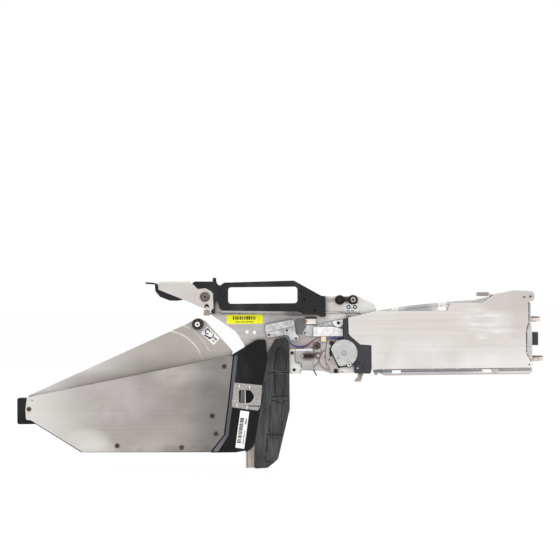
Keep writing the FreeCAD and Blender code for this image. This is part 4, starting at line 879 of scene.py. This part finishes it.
class Tree(Graph):
    """A geometry node tree with named inputs, built in the script and used as a modifier."""

    kinds: ClassVar[dict[type, str]] = {float: "Float", int: "Int", tuple: "Vector", type(None): "Material"}

    def __init__(self, name: str, **defaults: float | int | Point) -> None:
        """Starts a tree with a number or vector input for each name, and a finish."""
        super().__init__(bpy.data.node_groups.new(name, "GeometryNodeTree"))
        face = self.tree.interface
        face.new_socket("Geometry", in_out="INPUT", socket_type="NodeSocketGeometry")
        face.new_socket("Geometry", in_out="OUTPUT", socket_type="NodeSocketGeometry")
        self.keys: dict[str, str] = {}
        for key, default in {**defaults, "Finish": None}.items():
            kind = "NodeSocket" + self.kinds[type(default)]
            socket = face.new_socket(key, in_out="INPUT", socket_type=kind)
            socket.default_value = default
            self.keys[key] = socket.identifier
        self.inputs = self.beside(self.node("NodeGroupInput"))

    def __getitem__(self, key: str) -> Value:
        """The value of one of the inputs."""
        return self.inputs[key]

    def finish(self, geometry: Value) -> Tree:
        """Ends the tree in Realize Instances and Set Material."""
        real = self.node("GeometryNodeRealizeInstances", {0: geometry})
        dressed = self.node("GeometryNodeSetMaterial", {
            "Geometry": real, "Material": self["Finish"]})
        self.fill(self.tree.nodes.new("NodeGroupOutput").inputs[0], dressed)
        return self

    def wire(self, curve: Value) -> Tree:
        """Ends the tree in a round wire along a curve."""
        section = self.node("GeometryNodeCurvePrimitiveCircle", {
            "Resolution": 10, "Radius": self["Wire"]})
        return self.finish(self.node("GeometryNodeCurveToMesh", {
            "Curve": curve, "Profile Curve": section, "Fill Caps": True}))

    def repeat(self, points: Value, size: list[Value], heading: Value | Point,
               turn: Value | Point) -> Tree:
        """Ends the tree in small slabs on points.

        Args:
            points: where they are.
            size: their size along X, Y and Z.
            heading: the turn of each slab.
            turn: the turn of the whole row, before it is moved to its place.

        Returns:
            The tree.
        """
        block = self.node("GeometryNodeMeshCube", {"Size": (1.0, 1.0, 1.0)})
        scale = self.node("ShaderNodeCombineXYZ", dict(enumerate(size)))
        row = self.node("GeometryNodeInstanceOnPoints", {
            "Points": points, "Instance": block, "Rotation": heading, "Scale": scale})
        return self.finish(self.node("GeometryNodeTransform", {
            "Geometry": row, "Translation": self["Place"], "Rotation": turn}))

    def grow(self, name: str, finish: Enum, node: str, start: bpy.types.Mesh | None = None,
             smooth: float = 0.0, **values: float | int | Point) -> bpy.types.Object:
        """Makes a plain mesh piece with the tree.

        Args:
            name: the piece's name.
            finish: what it is made of.
            node: the node whose body it shares.
            start: the mesh that the tree starts from, if it reads one.
            smooth: the angle of smooth shading in degrees, or none at 0.
            values: numbers for the tree's inputs.

        Returns:
            The new piece, with the modifier gone.
        """
        piece = add_object(name, start or bpy.data.meshes.new(name))
        modifier = piece.modifiers.new("Grow", "NODES")
        modifier.node_group = self.tree
        for key, given in {**values, "Finish": finish.value.material()}.items():
            modifier[self.keys[key]] = given
        flatten(piece)
        if smooth:
            shade(piece, smooth)
        return register(piece, finish, node)


def coil_tree() -> Tree:
    """A close coil along X."""
    tree = Tree("Coil", Turns=6.0, Radius=0.0026, Length=0.0138, Wire=0.0005, Place=(0.0, 0.0, 0.0))
    spiral = tree.node("GeometryNodeCurveSpiral", {
        "Resolution": 28, "Rotations": tree["Turns"], "Start Radius": tree["Radius"],
        "End Radius": tree["Radius"], "Height": tree["Length"]})
    return tree.wire(tree.node("GeometryNodeTransform", {
        "Geometry": spiral, "Rotation": (0.0, math.pi / 2, 0.0), "Translation": tree["Place"]}))


def strand_tree() -> Tree:
    """One wire of a twisted bundle, laid round the line of points that the tree starts from."""
    tree = Tree("Strand", Phase=0.0, Twist=6.0, Offset=0.0008, Wire=0.0004)
    curve = tree.node("GeometryNodeMeshToCurve", {"Mesh": tree["Geometry"]})
    fine = tree.node("GeometryNodeResampleCurve", {"Curve": curve, "Count": 120})
    angle = tree.node("GeometryNodeSplineParameter") * tree["Twist"] + tree["Phase"]
    side = tree.node("ShaderNodeVectorMath", {
        0: tree.node("GeometryNodeInputTangent"), 1: (0.0, 1.0, 0.0)}, operation="CROSS_PRODUCT")
    level = tree.node("ShaderNodeVectorMath", {
        0: side, "Scale": tree.maths("COSINE", angle)}, operation="SCALE")
    depth = tree.node("ShaderNodeCombineXYZ", {1: tree.maths("SINE", angle)})
    both = tree.node("ShaderNodeVectorMath", {0: level, 1: depth}, operation="ADD")
    offset = tree.node("ShaderNodeVectorMath", {
        0: both, "Scale": tree["Offset"]}, operation="SCALE")
    return tree.wire(tree.node("GeometryNodeSetPosition", {"Geometry": fine, "Offset": offset}))


def bars_tree() -> Tree:
    """A row of printed bars of uneven width along X, each a thin closed slab."""
    tree = Tree("Bars", Count=20, Length=0.030, Height=0.004, Thick=0.00005, Widest=0.0011,
                Thinnest=0.0003, Seed=1, Place=(0.0, 0.0, 0.0), Turn=(0.0, 0.0, 0.0))
    step = tree.node("ShaderNodeCombineXYZ", {0: tree["Length"] / tree["Count"]})
    line = tree.node("GeometryNodeMeshLine", {"Count": tree["Count"], "Offset": step}, mode="OFFSET")
    limits = {2: tree["Thinnest"], 3: tree["Widest"], "Seed": tree["Seed"]}
    width = tree.node("FunctionNodeRandomValue", limits, 1, data_type="FLOAT")
    size = [width, tree["Thick"], tree["Height"]]
    return tree.repeat(line, size, (0.0, 0.0, 0.0), tree["Turn"])


def ridges_tree() -> Tree:
    """Ridges round an axis along Y, as on a knurled rim."""
    tree = Tree("Ridges", Count=24, Radius=0.0069, Width=0.0006, Tall=0.0005, Deep=0.002,
                Place=(0.0, 0.0, 0.0))
    rim = tree.node("GeometryNodeCurvePrimitiveCircle", {
        "Resolution": tree["Count"], "Radius": tree["Radius"]})
    points = tree.node("GeometryNodeCurveToPoints", {"Curve": rim}, mode="EVALUATED")
    outward = tree.node("FunctionNodeAlignRotationToVector", {
        "Vector": tree.node("GeometryNodeInputPosition")}, axis="X")
    size = [tree["Tall"], tree["Width"], tree["Deep"]]
    return tree.repeat(points, size, outward, (math.pi / 2, 0.0, 0.0))


BARS = bars_tree()
COIL = coil_tree()
STRAND = strand_tree()
RIDGES = ridges_tree()


# Labels


@dataclass
class Label:
    """A stuck-on label: rounded stock with plain printed marks, all generic."""

    name: str
    node: str
    centre: Spot
    width: float
    height: float
    face: float
    turn: float = 0.0
    stock: Print = Print.WHITE
    ink: Print = Print.INK
    thick: float = 0.12

    def __post_init__(self) -> None:
        """Makes the stock."""
        wide, tall = self.width / 2, self.height / 2
        slab(self.name, self.stock, self.node, [box(-wide, -tall, wide, tall, 0.8)], self.front,
             self.face, self.centre, self.turn)

    @property
    def front(self) -> float:
        """The printed face."""
        return self.face - self.thick

    def mark(self, word: str, *outlines: Outline) -> None:
        """Prints flat shapes, given from the label's centre in millimetres."""
        slab(self.name + "_" + word, self.ink, self.node, list(outlines), self.front - 0.04,
             self.front + 0.02, self.centre, self.turn)

    def bars(self, word: str, start: Spot, length: float, height: float, count: int, seed: int) -> None:
        """Prints a row of uneven bars.

        Args:
            word: the row's name.
            start: the first bar's centre from the label's centre, in millimetres.
            length: the row's length.
            height: the bars' length across the row.
            count: how many bars.
            seed: the seed of their widths.
        """
        angle = math.radians(self.turn)
        spot = Matrix.Rotation(angle, 2) @ Vector(start) + Vector(self.centre)
        pitch = length / count
        BARS.grow(
            self.name + "_" + word, self.ink, self.node, Count=count, Length=length * MM,
            Height=height * MM, Thick=0.06 * MM, Widest=pitch * 0.9 * MM, Thinnest=pitch * 0.4 * MM,
            Seed=seed, Place=(spot.x * MM, (self.front - 0.01) * MM, spot.y * MM), Turn=(0.0, -angle, 0.0))


# Sub-assemblies


@dataclass
class SubAssembly:
    """A group of pieces: nodes with broken edges, nodes kept as they are, and small parts."""

    softened: ClassVar[dict[str, tuple]] = {}
    kept: ClassVar[dict[str, Enum]] = {}

    def build(self) -> None:
        """Makes and dresses the whole group."""
        for node, look in self.softened.items():
            soften(node, *look)
        for node, finish in self.kept.items():
            dress(frame["nodes"][node], finish)
        self.small_parts()

    def small_parts(self) -> None:
        """Makes the pieces that only the looks have, if the group has any."""


@dataclass
class Head(SubAssembly):
    """Head with side cover, base rail, locating pins and machine connector."""

    softened = {
        "main_plate": (Metal.PLATE, 0.25), "head_housing": (Metal.TRACK, 0.3),
        "head_side_cover": (Metal.COVER, 0.25), "base_rail": (Metal.RAIL, 0.5),
        "front_connector": (Plastic.BLUE_GREY, 0.25)}
    kept = {"locating_pins": Metal.PIN, "fixed_pins": Metal.POSTS, "nose_pin": Metal.STEEL,
            "rear_screws": Metal.BLACK_AND_SHADE}
    cover_front: float = -9.5
    rail_top: float = -12.5
    notch: Spot = (-48.9, 5.4)
    slot_mark: Spot = (-10.4, 79.6)
    rivet: Spot = (-4.6, -7.9)

    def small_parts(self) -> None:
        """Pin's bore, stop button under the cover's edge, slot mark and corner rivet."""
        # A black disc: painted shade inside the pin's bore.
        dots("nose_pin_bore", Metal.BLACK_AND_SHADE, "nose_pin", [(-2.4, 80.4)], 1.4, -9.96, -9.8)
        x, reach = self.notch
        stop = ring((x, self.rail_top - 0.1), reach, 0.01, 180.0, 180.0, 16)
        slab("rail_stop", Metal.ZINC, "base_rail", [stop], -7.6, -6.05)
        slots = [box(-2.0, low, 1.8, low + 0.8, 0.3) for low in (-1.0, 0.3)]
        slab("cover_slot_mark", Metal.BLACK_AND_SHADE, "head_side_cover", slots, self.cover_front - 0.06,
             self.cover_front + 0.1, self.slot_mark)
        lathe("cover_rivet", Metal.UMBER, "head_side_cover", self.rivet, self.cover_front, [
            (0, -0.5), (0.5, -0.5), (0.95, -0.25), (1.05, 0.1), (0, 0.1)], 24)


@dataclass
class TapeDrive(SubAssembly):
    """Tape track, nose window, sprocket, gears, index motor and board inside the head."""

    softened = {"tape_track": (Metal.TRACK, 0.25), "tape_window": (Metal.WINDOW, 0.2)}
    kept = {"drive_pinion": Metal.STEEL, "drive_sprocket": Metal.STEEL, "idler_gear": Metal.BRONZE,
            "index_motor": Metal.ZINC, "control_board": Plastic.BOARD}


@dataclass
class CarryHandle(SubAssembly):
    """Carry handle with the sprung release lever, its link, rod and lock hook."""

    softened = {
        "carry_handle": (Plastic.HANDLE, 0.9, 3), "release_lever": (Metal.LEVER, 0.25),
        "lever_grip": (Plastic.HANDLE, 0.5), "lever_link": (Metal.BRONZE, 0.3),
        "lock_hook": (Metal.BRONZE, 0.3)}
    kept = {"pull_rod": Metal.STEEL}
    pivot: Spot = (-424.0, 84.3)
    front: float = -9.5
    mark: Spot = (-421.8, 72.6)

    def small_parts(self) -> None:
        """Bead, flange and arrow of the lever, and the large stepped screw of its pivot."""
        lever, front = "release_lever", self.front
        # The bead and the flange are painted highlights.
        bead = ring(self.pivot, 10.6, 9.9, 120.0, 118.0)
        slab("lever_bead", Metal.PAINTED_HIGHLIGHT, lever, [bead], front - 0.15, front + 0.1)
        flange = [(-484.5, 102.2), (-443.0, 102.2), (-443.0, 105.4), (-482.0, 104.9)]
        slab("lever_flange", Metal.PAINTED_HIGHLIGHT, lever, [flange], -8.35, -7.9)
        chevron = [(-3.1, -2.4), (-2.7, 0.8), (0.0, 3.1), (2.7, 0.8), (3.1, -2.4), (1.5, -2.2),
                   (0.0, -0.4), (-1.5, -2.2)]
        slab("lever_mark", Print.INK, lever, [chevron], front - 0.05, front + 0.05, self.mark)
        screw = lathe("lever_pivot_screw", Metal.TAUPE, "lever_pivot", self.pivot, front, [
            (0, 0.1), (1.7, 0.1), (1.7, -0.9), (2.6, -1.15), (4.3, -1.15), (4.5, -0.8), (4.9, -0.8),
            (5.1, -1.1), (6.0, -1.1), (6.35, -0.8), (6.35, -0.1), (3.0, -0.1), (3.0, 4.4), (0, 4.4)], 72, 6)
        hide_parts("lever_pivot")
        # A black disc: painted shade in the screw's socket.
        dots("lever_pivot_bore", Metal.BLACK_AND_SHADE, "lever_pivot", [self.pivot], 1.6, front - 0.3,
             front + 0.15)


@dataclass
class LobeRollers(SubAssembly):
    """Guide rollers and bar on the upper lobe, the tape channel and the lobe's label."""

    softened = {"guide_bar": (Metal.UMBER, 0.3), "tape_channel": (Metal.PLATE, 0.25)}
    kept = {"guide_roller_rear": Plastic.RUBBER, "guide_roller_front": Plastic.RUBBER,
            "reel_roller": Plastic.RUBBER}
    rear_axle: Spot = (-248.9, 78.5)
    front_axle: Spot = (-231.8, 78.5)
    reel_axle: Spot = (-434.2, 48.7)
    axle_front: float = -5.6
    reel_front: float = -9.2
    plate_front: float = 7.5

    def small_parts(self) -> None:
        """Axle screws, the reel roller's knurls, and a label with two rings."""
        axle = self.axle("axle_rear", Metal.BLACK_AND_SHADE, self.rear_axle, self.axle_front, 3.4, 13.1)
        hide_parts("roller_axles")
        self.axle("axle_front", Metal.ROSE, self.front_axle, self.axle_front, 3.4, 13.1)
        self.axle("axle_reel", Plastic.WHITE, self.reel_axle, self.reel_front, 3.3, 16.6)
        # Black discs: painted shade in the sockets of two axle heads.
        for word, spot, radius, front in (("reel", self.reel_axle, 1.4, self.reel_front),
                                          ("front", self.front_axle, 1.75, self.axle_front)):
            dots("axle_" + word + "_bore", Metal.BLACK_AND_SHADE, "roller_axles", [spot], radius, front - 0.04,
                 front + 0.7)
        x, z = self.reel_axle
        RIDGES.grow("reel_roller_knurl", Plastic.KNURL, "reel_roller", Count=8, Radius=5.3 * MM,
                    Width=1.1 * MM, Tall=1.3 * MM, Deep=0.5 * MM, Place=(x * MM, -7.95 * MM, z * MM))
        label = Label("lobe_label", "main_plate", (-233.3, 67.5), 17.6, 10.4, self.plate_front,
                      stock=Print.SHINING)
        label.mark("rings", ring((-4.2, 1.3), 2.7, 1.3), ring((4.3, 1.3), 2.7, 1.3))
        label.mark("lines", box(-6.5, -4.0, -2.9, -2.9),
                   [(-1.2, -4.1), (2.7, -4.0), (2.5, -2.9), (-1.2, -3.0)], box(-0.4, -0.8, 0.8, 0.4))

    def axle(self, name: str, finish: Enum, centre: Spot, front: float, radius: float,
             length: float) -> bpy.types.Object:
        """One axle screw, whose head has a radius and a hexagon socket."""
        return lathe(name, finish, "roller_axles", centre, front, [
            (0, 0.9), (1.15, 0.9), (1.15, 0.15), (1.5, 0), (radius - 0.3, 0), (radius, 0.3),
            (radius, 1.0), (1.5, 1.0), (1.5, length), (0, length)], 48, 6)


@dataclass
class SensorGroup(SubAssembly):
    """Tape-end sensor on its bracket, the plug and the rail bracket beside it."""

    softened = {
        "sensor_bracket": (Metal.ZINC, 0.25), "sensor_block": (Plastic.SENSOR, 0.5),
        "sensor_boss": (Plastic.WHITE, 0.3), "sensor_plug": (Plastic.WHITE, 0.3),
        "sensor_plug_latch": (Plastic.HANDLE, 0.2), "rail_bracket": (Metal.ZINC, 0.25)}
    plug: Spot = (-292.3, 51.0)

    def small_parts(self) -> None:
        """Orange insert of the plug."""
        slab("plug_insert", Plastic.ORANGE, "sensor_plug", [box(-0.8, -1.9, 0.9, 1.9, 0.3)], 1.38, 1.6,
             self.plug)


@dataclass
class PeelUnit(SubAssembly):
    """Peel motor, wheels, sprung pinch lever, wiring and their plates."""

    softened = {
        "motor_plate": (Metal.FLANGE, 0.2), "peel_bracket": (Metal.NICKEL, 0.25),
        "peel_cover": (Metal.PEEL, 0.5), "motor_bracket": (Plastic.BLUE_GREY, 0.6),
        "peel_motor": (Metal.CAN, 0.45), "wire_clamp": (Plastic.BEIGE, 0.4),
        "pinch_pivot": (Metal.UMBER, 0.2)}
    kept = {"peel_pinion": Metal.STEEL, "peel_drive": Metal.STEEL, "pinch_lever": Metal.STEEL,
            "peel_idler": Metal.ROSE, "pinch_wheel": Metal.TAUPE, "mechanism_screws": Metal.BLACK_AND_SHADE}
    motor: Spot = (-244.6, 9.5)
    can_front: float = -8.8
    flange_front: float = 0.0
    bracket_face: float = -7.9
    rivet: Spot = (-263.3, 0.7)
    spring_start: Point = (-296.8, -6.4, 6.0)
    spring_turns: float = 6.0
    spring_pitch: float = 2.3
    spring_radius: float = 2.6
    spring_wire: float = 0.5
    wire: float = 0.42
    bundle: float = 0.82
    harness: tuple[Spot, ...] = (
        (-315.0, 24.6), (-310.2, 20.0), (-303.6, 17.6), (-295.4, 18.2), (-288.4, 21.6),
        (-282.6, 26.2), (-274.6, 28.7), (-259.0, 29.0), (-245.0, 28.4))

    def small_parts(self) -> None:
        """Marks of the bracket, the spring, the wires and the details of the motor."""
        # A black disc: painted shade in the pivot's bore.
        dots("pinch_pivot_bore", Metal.BLACK_AND_SHADE, "pinch_pivot", [(-279.4, 19.0)], 1.3, -3.2, -2.8)
        face = self.bracket_face
        slab("bracket_loop", Print.INK, "motor_bracket", [ring((-227.9, -4.0), 3.1, 1.9)], face - 0.25, face)
        dots("bracket_marks", Plastic.WHITE, "motor_bracket", [(-227.0, -6.5), (-227.0, -10.2)], 0.75,
             face - 0.2, face)
        self.spring()
        self.wires()
        self.motor_details()

    def spring(self) -> None:
        """Tension spring, wound in place of the frame's own."""
        coil = COIL.grow(
            "pinch_spring_coil", Metal.SPRING, "pinch_spring", smooth=60.0, Turns=self.spring_turns,
            Radius=self.spring_radius * MM, Length=self.spring_turns * self.spring_pitch * MM,
            Wire=self.spring_wire * MM, Place=tuple(size * MM for size in self.spring_start))
        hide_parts("pinch_spring")

    def wires(self) -> None:
        """Five insulated wires laid together along the harness route."""
        line = bpy.data.curves.new("harness_line", "CURVE")
        line.dimensions = "3D"
        spline = line.splines.new("NURBS")
        spline.points.add(len(self.harness) - 1)
        for point, (x, z) in zip(spline.points, self.harness):
            point.co = (x * MM, 0.0, z * MM, 1.0)
        spline.order_u = 3
        spline.use_endpoint_u = True
        spline.resolution_u = 12
        holder = add_object("harness_line", line)
        route = plain_mesh(holder)
        bpy.data.objects.remove(holder)
        finishes = (Plastic.WIRE_RED, Plastic.WIRE_BLACK, Plastic.WIRE_PURPLE, Plastic.WIRE_BLUE,
                    Plastic.WIRE_WHITE)
        strands = [STRAND.grow(
            "harness_wire_%d" % (index + 1), finish, "wire_harness", route.copy(), 60.0,
            Wire=self.wire * MM, Offset=self.bundle * MM, Twist=9.0,
            Phase=2 * math.pi * index / len(finishes) + 0.6) for index, finish in enumerate(finishes)]
        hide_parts("wire_harness")

    def motor_details(self) -> None:
        """Raised and sunk marks on the motor's face and the rivet on its flange."""
        x, z = self.motor
        front, can, flange = self.can_front, "peel_motor", "motor_plate"
        lathe("motor_boss", Metal.ROSE, can, self.motor, front, [
            (0, -0.45), (1.2, -0.45), (1.5, -0.75), (2.5, -0.75), (2.8, -0.4), (2.8, 0.1), (0, 0.1)], 36)
        slab("motor_ring", Metal.ZINC, can, [ring(self.motor, 4.1, 3.7)], front - 0.12, front + 0.1)
        crimps = [ring(self.motor, 16.4, 15.2, 7.0, start, 6) for start in (-22.0, -8.0, 6.0, 58.0, 118.0)]
        slab("motor_crimps", Metal.STEEL, can, crimps, front - 0.3, front + 0.2)
        # Painted shadow: a near-black sheet round the can's edge and over the flange beside it.
        edge = [(-19.0, 6.4), (-7.2, -19.8), (5.0, -17.0), (5.0, -12.0), (-4.0, -12.0), (-14.0, 8.0)]
        rim = ring((0.0, 0.0), 18.7, 16.0, 235.0, -40.0, 50)
        slab("motor_edge_shadow", Metal.BLACK_AND_SHADE, can, [edge, rim], -0.5, 0.05, self.motor)
        # Black discs of painted shade in the flange's holes and behind the ear, a painted highlight on the
        # ear's rim, and painted shade in its hole.
        dots("flange_holes", Metal.BLACK_AND_SHADE, flange, [(-252.2, 24.0), (-247.0, -15.3)], 1.0, -0.05, 0.2)
        ear = [(x + 6.6, z - 14.7)]
        dots("ear_shade", Metal.BLACK_AND_SHADE, flange, ear, 3.5, front - 0.05, -5.2)
        dots("ear_rim", Metal.PAINTED_HIGHLIGHT, flange, ear, 2.8, front - 0.2, front + 0.1)
        dots("ear_hole", Metal.BLACK_AND_SHADE, flange, ear, 1.3, front - 0.25, front)
        lathe("flange_rivet", Metal.UMBER, "fixed_pins", self.rivet, self.flange_front, [
            (0, -1.1), (1.0, -1.1), (2.2, -0.6), (2.7, -0.02), (0, -0.02)], 32)


@dataclass
class ReelBin(SubAssembly):
    """Reel bin: cover and back plates, black moulding, end wall, latch and labels."""

    softened = {
        "bin_cover": (Metal.BIN_COVER, 0.25), "bin_back_plate": (Metal.BIN_BACK, 0.25),
        "bin_moulding": (Plastic.BIN, 0.7, 3), "bin_end_wall": (Plastic.BIN, 0.6),
        "bin_latch": (Metal.STAINLESS, 0.12), "latch_grip": (Plastic.GRIP, 0.3)}
    kept = {"cover_screws": Metal.UMBER}
    front: float = -8.3
    latch_front: float = -9.3
    back_face: float = 6.3

    def small_parts(self) -> None:
        """Bin hole, the moulding's band and lip, the latch's tabs and both labels."""
        front = self.front
        # A black disc: painted shade in the cover's hole.
        dots("bin_cover_hole", Metal.BLACK_AND_SHADE, "bin_cover", [(-649.4, -47.4)], 0.8, -9.54, -9.4)
        # Painted light: a lighter strip on the moulding in place of its sloping left face.
        band = [(-386.6, 7.6), (-394.0, -54.1), (-399.7, -94.7), (-415.8, -116.2), (-409.0, -116.2),
                (-395.4, -95.6), (-389.6, -54.8), (-382.4, 7.6)]
        slab("moulding_band", Plastic.BAND, "bin_moulding", [band], front - 0.35, front - 0.02)
        lip = [(-351.4, -34.0), (-354.5, -63.2), (-361.3, -102.8), (-363.0, -109.5), (-367.4, -114.8),
               (-373.6, -117.2), (-374.5, -113.0), (-366.0, -104.0), (-358.0, -64.0), (-353.5, -34.0)]
        slab("moulding_lip", Plastic.BIN, "bin_moulding", [lip], front + 0.05, -3.0)
        self.latch()
        self.barcode()
        self.reel_sign()

    def latch(self) -> None:
        """Four lanced tabs of the latch plate with painted highlights and painted shadows under them, its
        spring leaf, the grip's ribs, painted shade on the grip's edge and a painted highlight along the
        opening.
        """
        spots = ((-380.8, -31.6), (-367.4, -32.6), (-384.0, -56.6), (-371.2, -59.8))
        front, plate, grip = self.latch_front, "bin_latch", "latch_grip"
        # The shades are painted shadows under the tabs; the tabs carry a painted highlight.
        for word, wide, step, finish in (("shades", 1.9, 0.05, Metal.BLACK_AND_SHADE),
                                         ("tabs", 1.2, 0.25, Metal.PAINTED_HIGHLIGHT)):
            tabs = [[(x - wide, z - 2.2), (x + wide * 0.5, z - 2.2), (x + wide, z + 1.8),
                     (x - wide * 0.7, z + 1.8)] for x, z in spots]
            slab("latch_" + word, finish, plate, tabs, front - step, front + 0.05)
        leaf = [(-368.5, -56.9), (-352.4, -57.6), (-352.2, -58.8), (-368.5, -58.3)]
        slab("latch_leaf", Metal.BLACK_AND_SHADE, plate, [leaf], front - 0.05, front + 0.05)
        front = self.front
        # Painted shade on the grip's left edge, and a painted highlight along the opening's edge.
        side = [(-382.4, -54.4), (-379.8, -54.4), (-378.8, -36.8), (-381.4, -36.8)]
        slab("grip_shade", Plastic.BIN, grip, [side], front - 0.55, front + 0.1)
        slab("latch_edge", Metal.PAINTED_HIGHLIGHT, plate, [box(-373.5, -53.8, -372.7, -37.2, 0.3)], front - 0.6,
             front + 1.0)
        ribs = [box(x, -53.4, x + 0.7, -37.6) for x in (-378.2, -376.7, -375.2)]
        slab("grip_ribs", Plastic.GRIP, grip, ribs, front - 0.5, front + 0.1)

    def barcode(self) -> None:
        """White label with a row of bars and two rows of small marks up the moulding."""
        label = Label("bin_label", "bin_moulding", (-377.4, -88.3), 48.6, 11.6, self.front, 81.6)
        label.bars("code", (-17.0, 2.0), 33.0, 5.0, 17, 7)
        label.bars("small_code", (-17.6, -3.4), 17.0, 1.1, 15, 3)
        label.bars("tail_code", (8.0, -3.4), 8.0, 1.8, 5, 5)

    def reel_sign(self) -> None:
        """Turned label on the back plate: a plain ring and arrows that show a reel's turn."""
        label = Label("reel_label", "bin_back_plate", (-417.9, 33.3), 22.6, 12.0, self.back_face, -44.0)
        label.mark("ring", ring((-6.6, 1.2), 3.7, 2.1, 300.0, 40.0),
                   ring((-0.4, 0.6), 4.3, 2.9, 130.0, -50.0))
        label.mark("arrows", arrow((-6.4, -4.6), (3.4, -2.4), 1.9), box(-9.6, 3.4, -7.6, 5.2),
                   box(-2.9, 3.6, -1.2, 5.0))
        label.bars("lines", (4.8, 1.6), 5.6, 2.4, 5, 11)
        label.bars("more_lines", (5.6, -2.2), 4.2, 2.2, 4, 12)


@dataclass
class Chute(SubAssembly):
    """Waste tape chute: moulded cover and folded channel."""

    softened = {"chute_cover": (Plastic.CHUTE, 0.7, 3), "chute_channel": (Metal.CHANNEL, 0.25)}


@dataclass
class PlateLabel(SubAssembly):
    """Yellow label on the main plate, with two rows of plain bars."""

    face: float = 7.5

    def small_parts(self) -> None:
        """Makes the label."""
        label = Label("plate_label", "main_plate", (-373.0, 54.3), 47.2, 11.7, self.face,
                      stock=Print.YELLOW, ink=Print.BROWN_INK)
        label.bars("row", (-14.5, 1.7), 30.0, 4.4, 13, 4)
        label.bars("small_row", (-12.0, -3.4), 24.0, 1.5, 20, 9)


@dataclass
class Studio:
    """Floor, soft lights and the camera at the photograph's view."""

    aim: Point = (-0.3265, -0.001, 0.1051)
    width: float = 0.728
    lens: float = 120.0
    sensor: float = 36.0
    roll: float = 0.6
    floor_gap: float = 0.0005
    floor_reach: float = 12.0

    def build(self) -> None:
        """Makes the whole studio."""
        bpy.context.scene.view_settings.view_transform = "Standard"
        self.camera()
        self.floor()
        self.world()
        self.lamp("key_light", (-1.6, -1.5, 2.1), 2.2, 26.0)
        self.lamp("fill_light", (1.9, -1.6, 0.8), 2.4, 10.0)
        self.lamp("top_light", (-0.2, 0.7, 2.3), 2.0, 14.0)
        self.lamp("back_light", (-0.9, 2.4, 1.2), 2.4, 12.0)

    def camera(self) -> None:
        """Camera square to the cover side, rolled as the photograph is."""
        data = bpy.data.cameras.new("photo_view")
        data.lens = self.lens
        data.sensor_width = self.sensor
        holder = add_object("photo_view", data)
        distance = self.width * self.lens / self.sensor
        holder.location = Vector(self.aim) - Vector((0.0, distance, 0.0))
        holder.rotation_euler = (math.radians(90), math.radians(self.roll), 0.0)
        bpy.context.scene.camera = holder

    def lamp(self, name: str, place: Point, size: float, power: float) -> None:
        """A square soft light that faces the feeder."""
        data = bpy.data.lights.new(name, "AREA")
        data.energy = power
        data.size = size
        holder = add_object(name, data)
        holder.location = place
        aim = Vector(self.aim) - Vector(place)
        holder.rotation_euler = aim.to_track_quat("-Z", "Y").to_euler()

    def seen(self, graph: Graph) -> Value:
        """1 on rays from the camera and on glossy and transmitted rays, else 0."""
        rays = graph.beside(graph.node("ShaderNodeLightPath"))
        either = graph.maths("MAXIMUM", rays["Is Camera Ray"], rays["Is Glossy Ray"])
        return graph.maths("MAXIMUM", either, rays["Is Transmission Ray"])

    def floor(self) -> None:
        """Plain pale floor that looks white and keeps a soft shadow."""
        low = min(corner[2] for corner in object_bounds()) - self.floor_gap
        reach = self.floor_reach
        mesh = bpy.data.meshes.new("floor")
        mesh.from_pydata([(x, y, low) for x, y in box(-reach, -reach, reach, reach)], [], [(0, 1, 2, 3)])
        paint = Paint("floor_white")
        paint.feed(Base_Color=(0.95, 0.95, 0.95), Roughness=0.9)
        glow = paint.node("ShaderNodeEmission", {"Color": (1.0, 1.0, 1.0), "Strength": 1.0})
        mixed = paint.node("ShaderNodeMixShader", {
            0: self.seen(paint) * 0.94, 1: Value(paint, paint.shader.outputs[0]), 2: glow})
        paint.fill(paint.output.inputs["Surface"], mixed)
        mesh.materials.append(paint.material)
        add_object("floor", mesh)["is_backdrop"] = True

    def world(self) -> None:
        """Even pale surroundings, white where the camera or a reflection sees them."""
        world = bpy.data.worlds.new("studio")
        world.use_nodes = True
        bpy.context.scene.world = world
        graph = Graph(world.node_tree)
        graph.tree.nodes.clear()
        strength = graph.node("ShaderNodeMapRange", {
            "Value": self.seen(graph), "To Min": 0.84, "To Max": 1.0})
        back = graph.node("ShaderNodeBackground", {"Color": (1.0, 1.0, 1.0), "Strength": strength})
        graph.fill(graph.tree.nodes.new("ShaderNodeOutputWorld").inputs["Surface"], back)


def main() -> None:
    """Builds the feeder's looks, one sub-assembly after another."""
    logging.basicConfig(level=logging.INFO, format="%(message)s")
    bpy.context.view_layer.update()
    Studio().build()
    for group in (Head, TapeDrive, CarryHandle, LobeRollers, SensorGroup, PeelUnit, ReelBin, Chute,
                  PlateLabel):
        group().build()


if __name__ == "__main__":
    main()
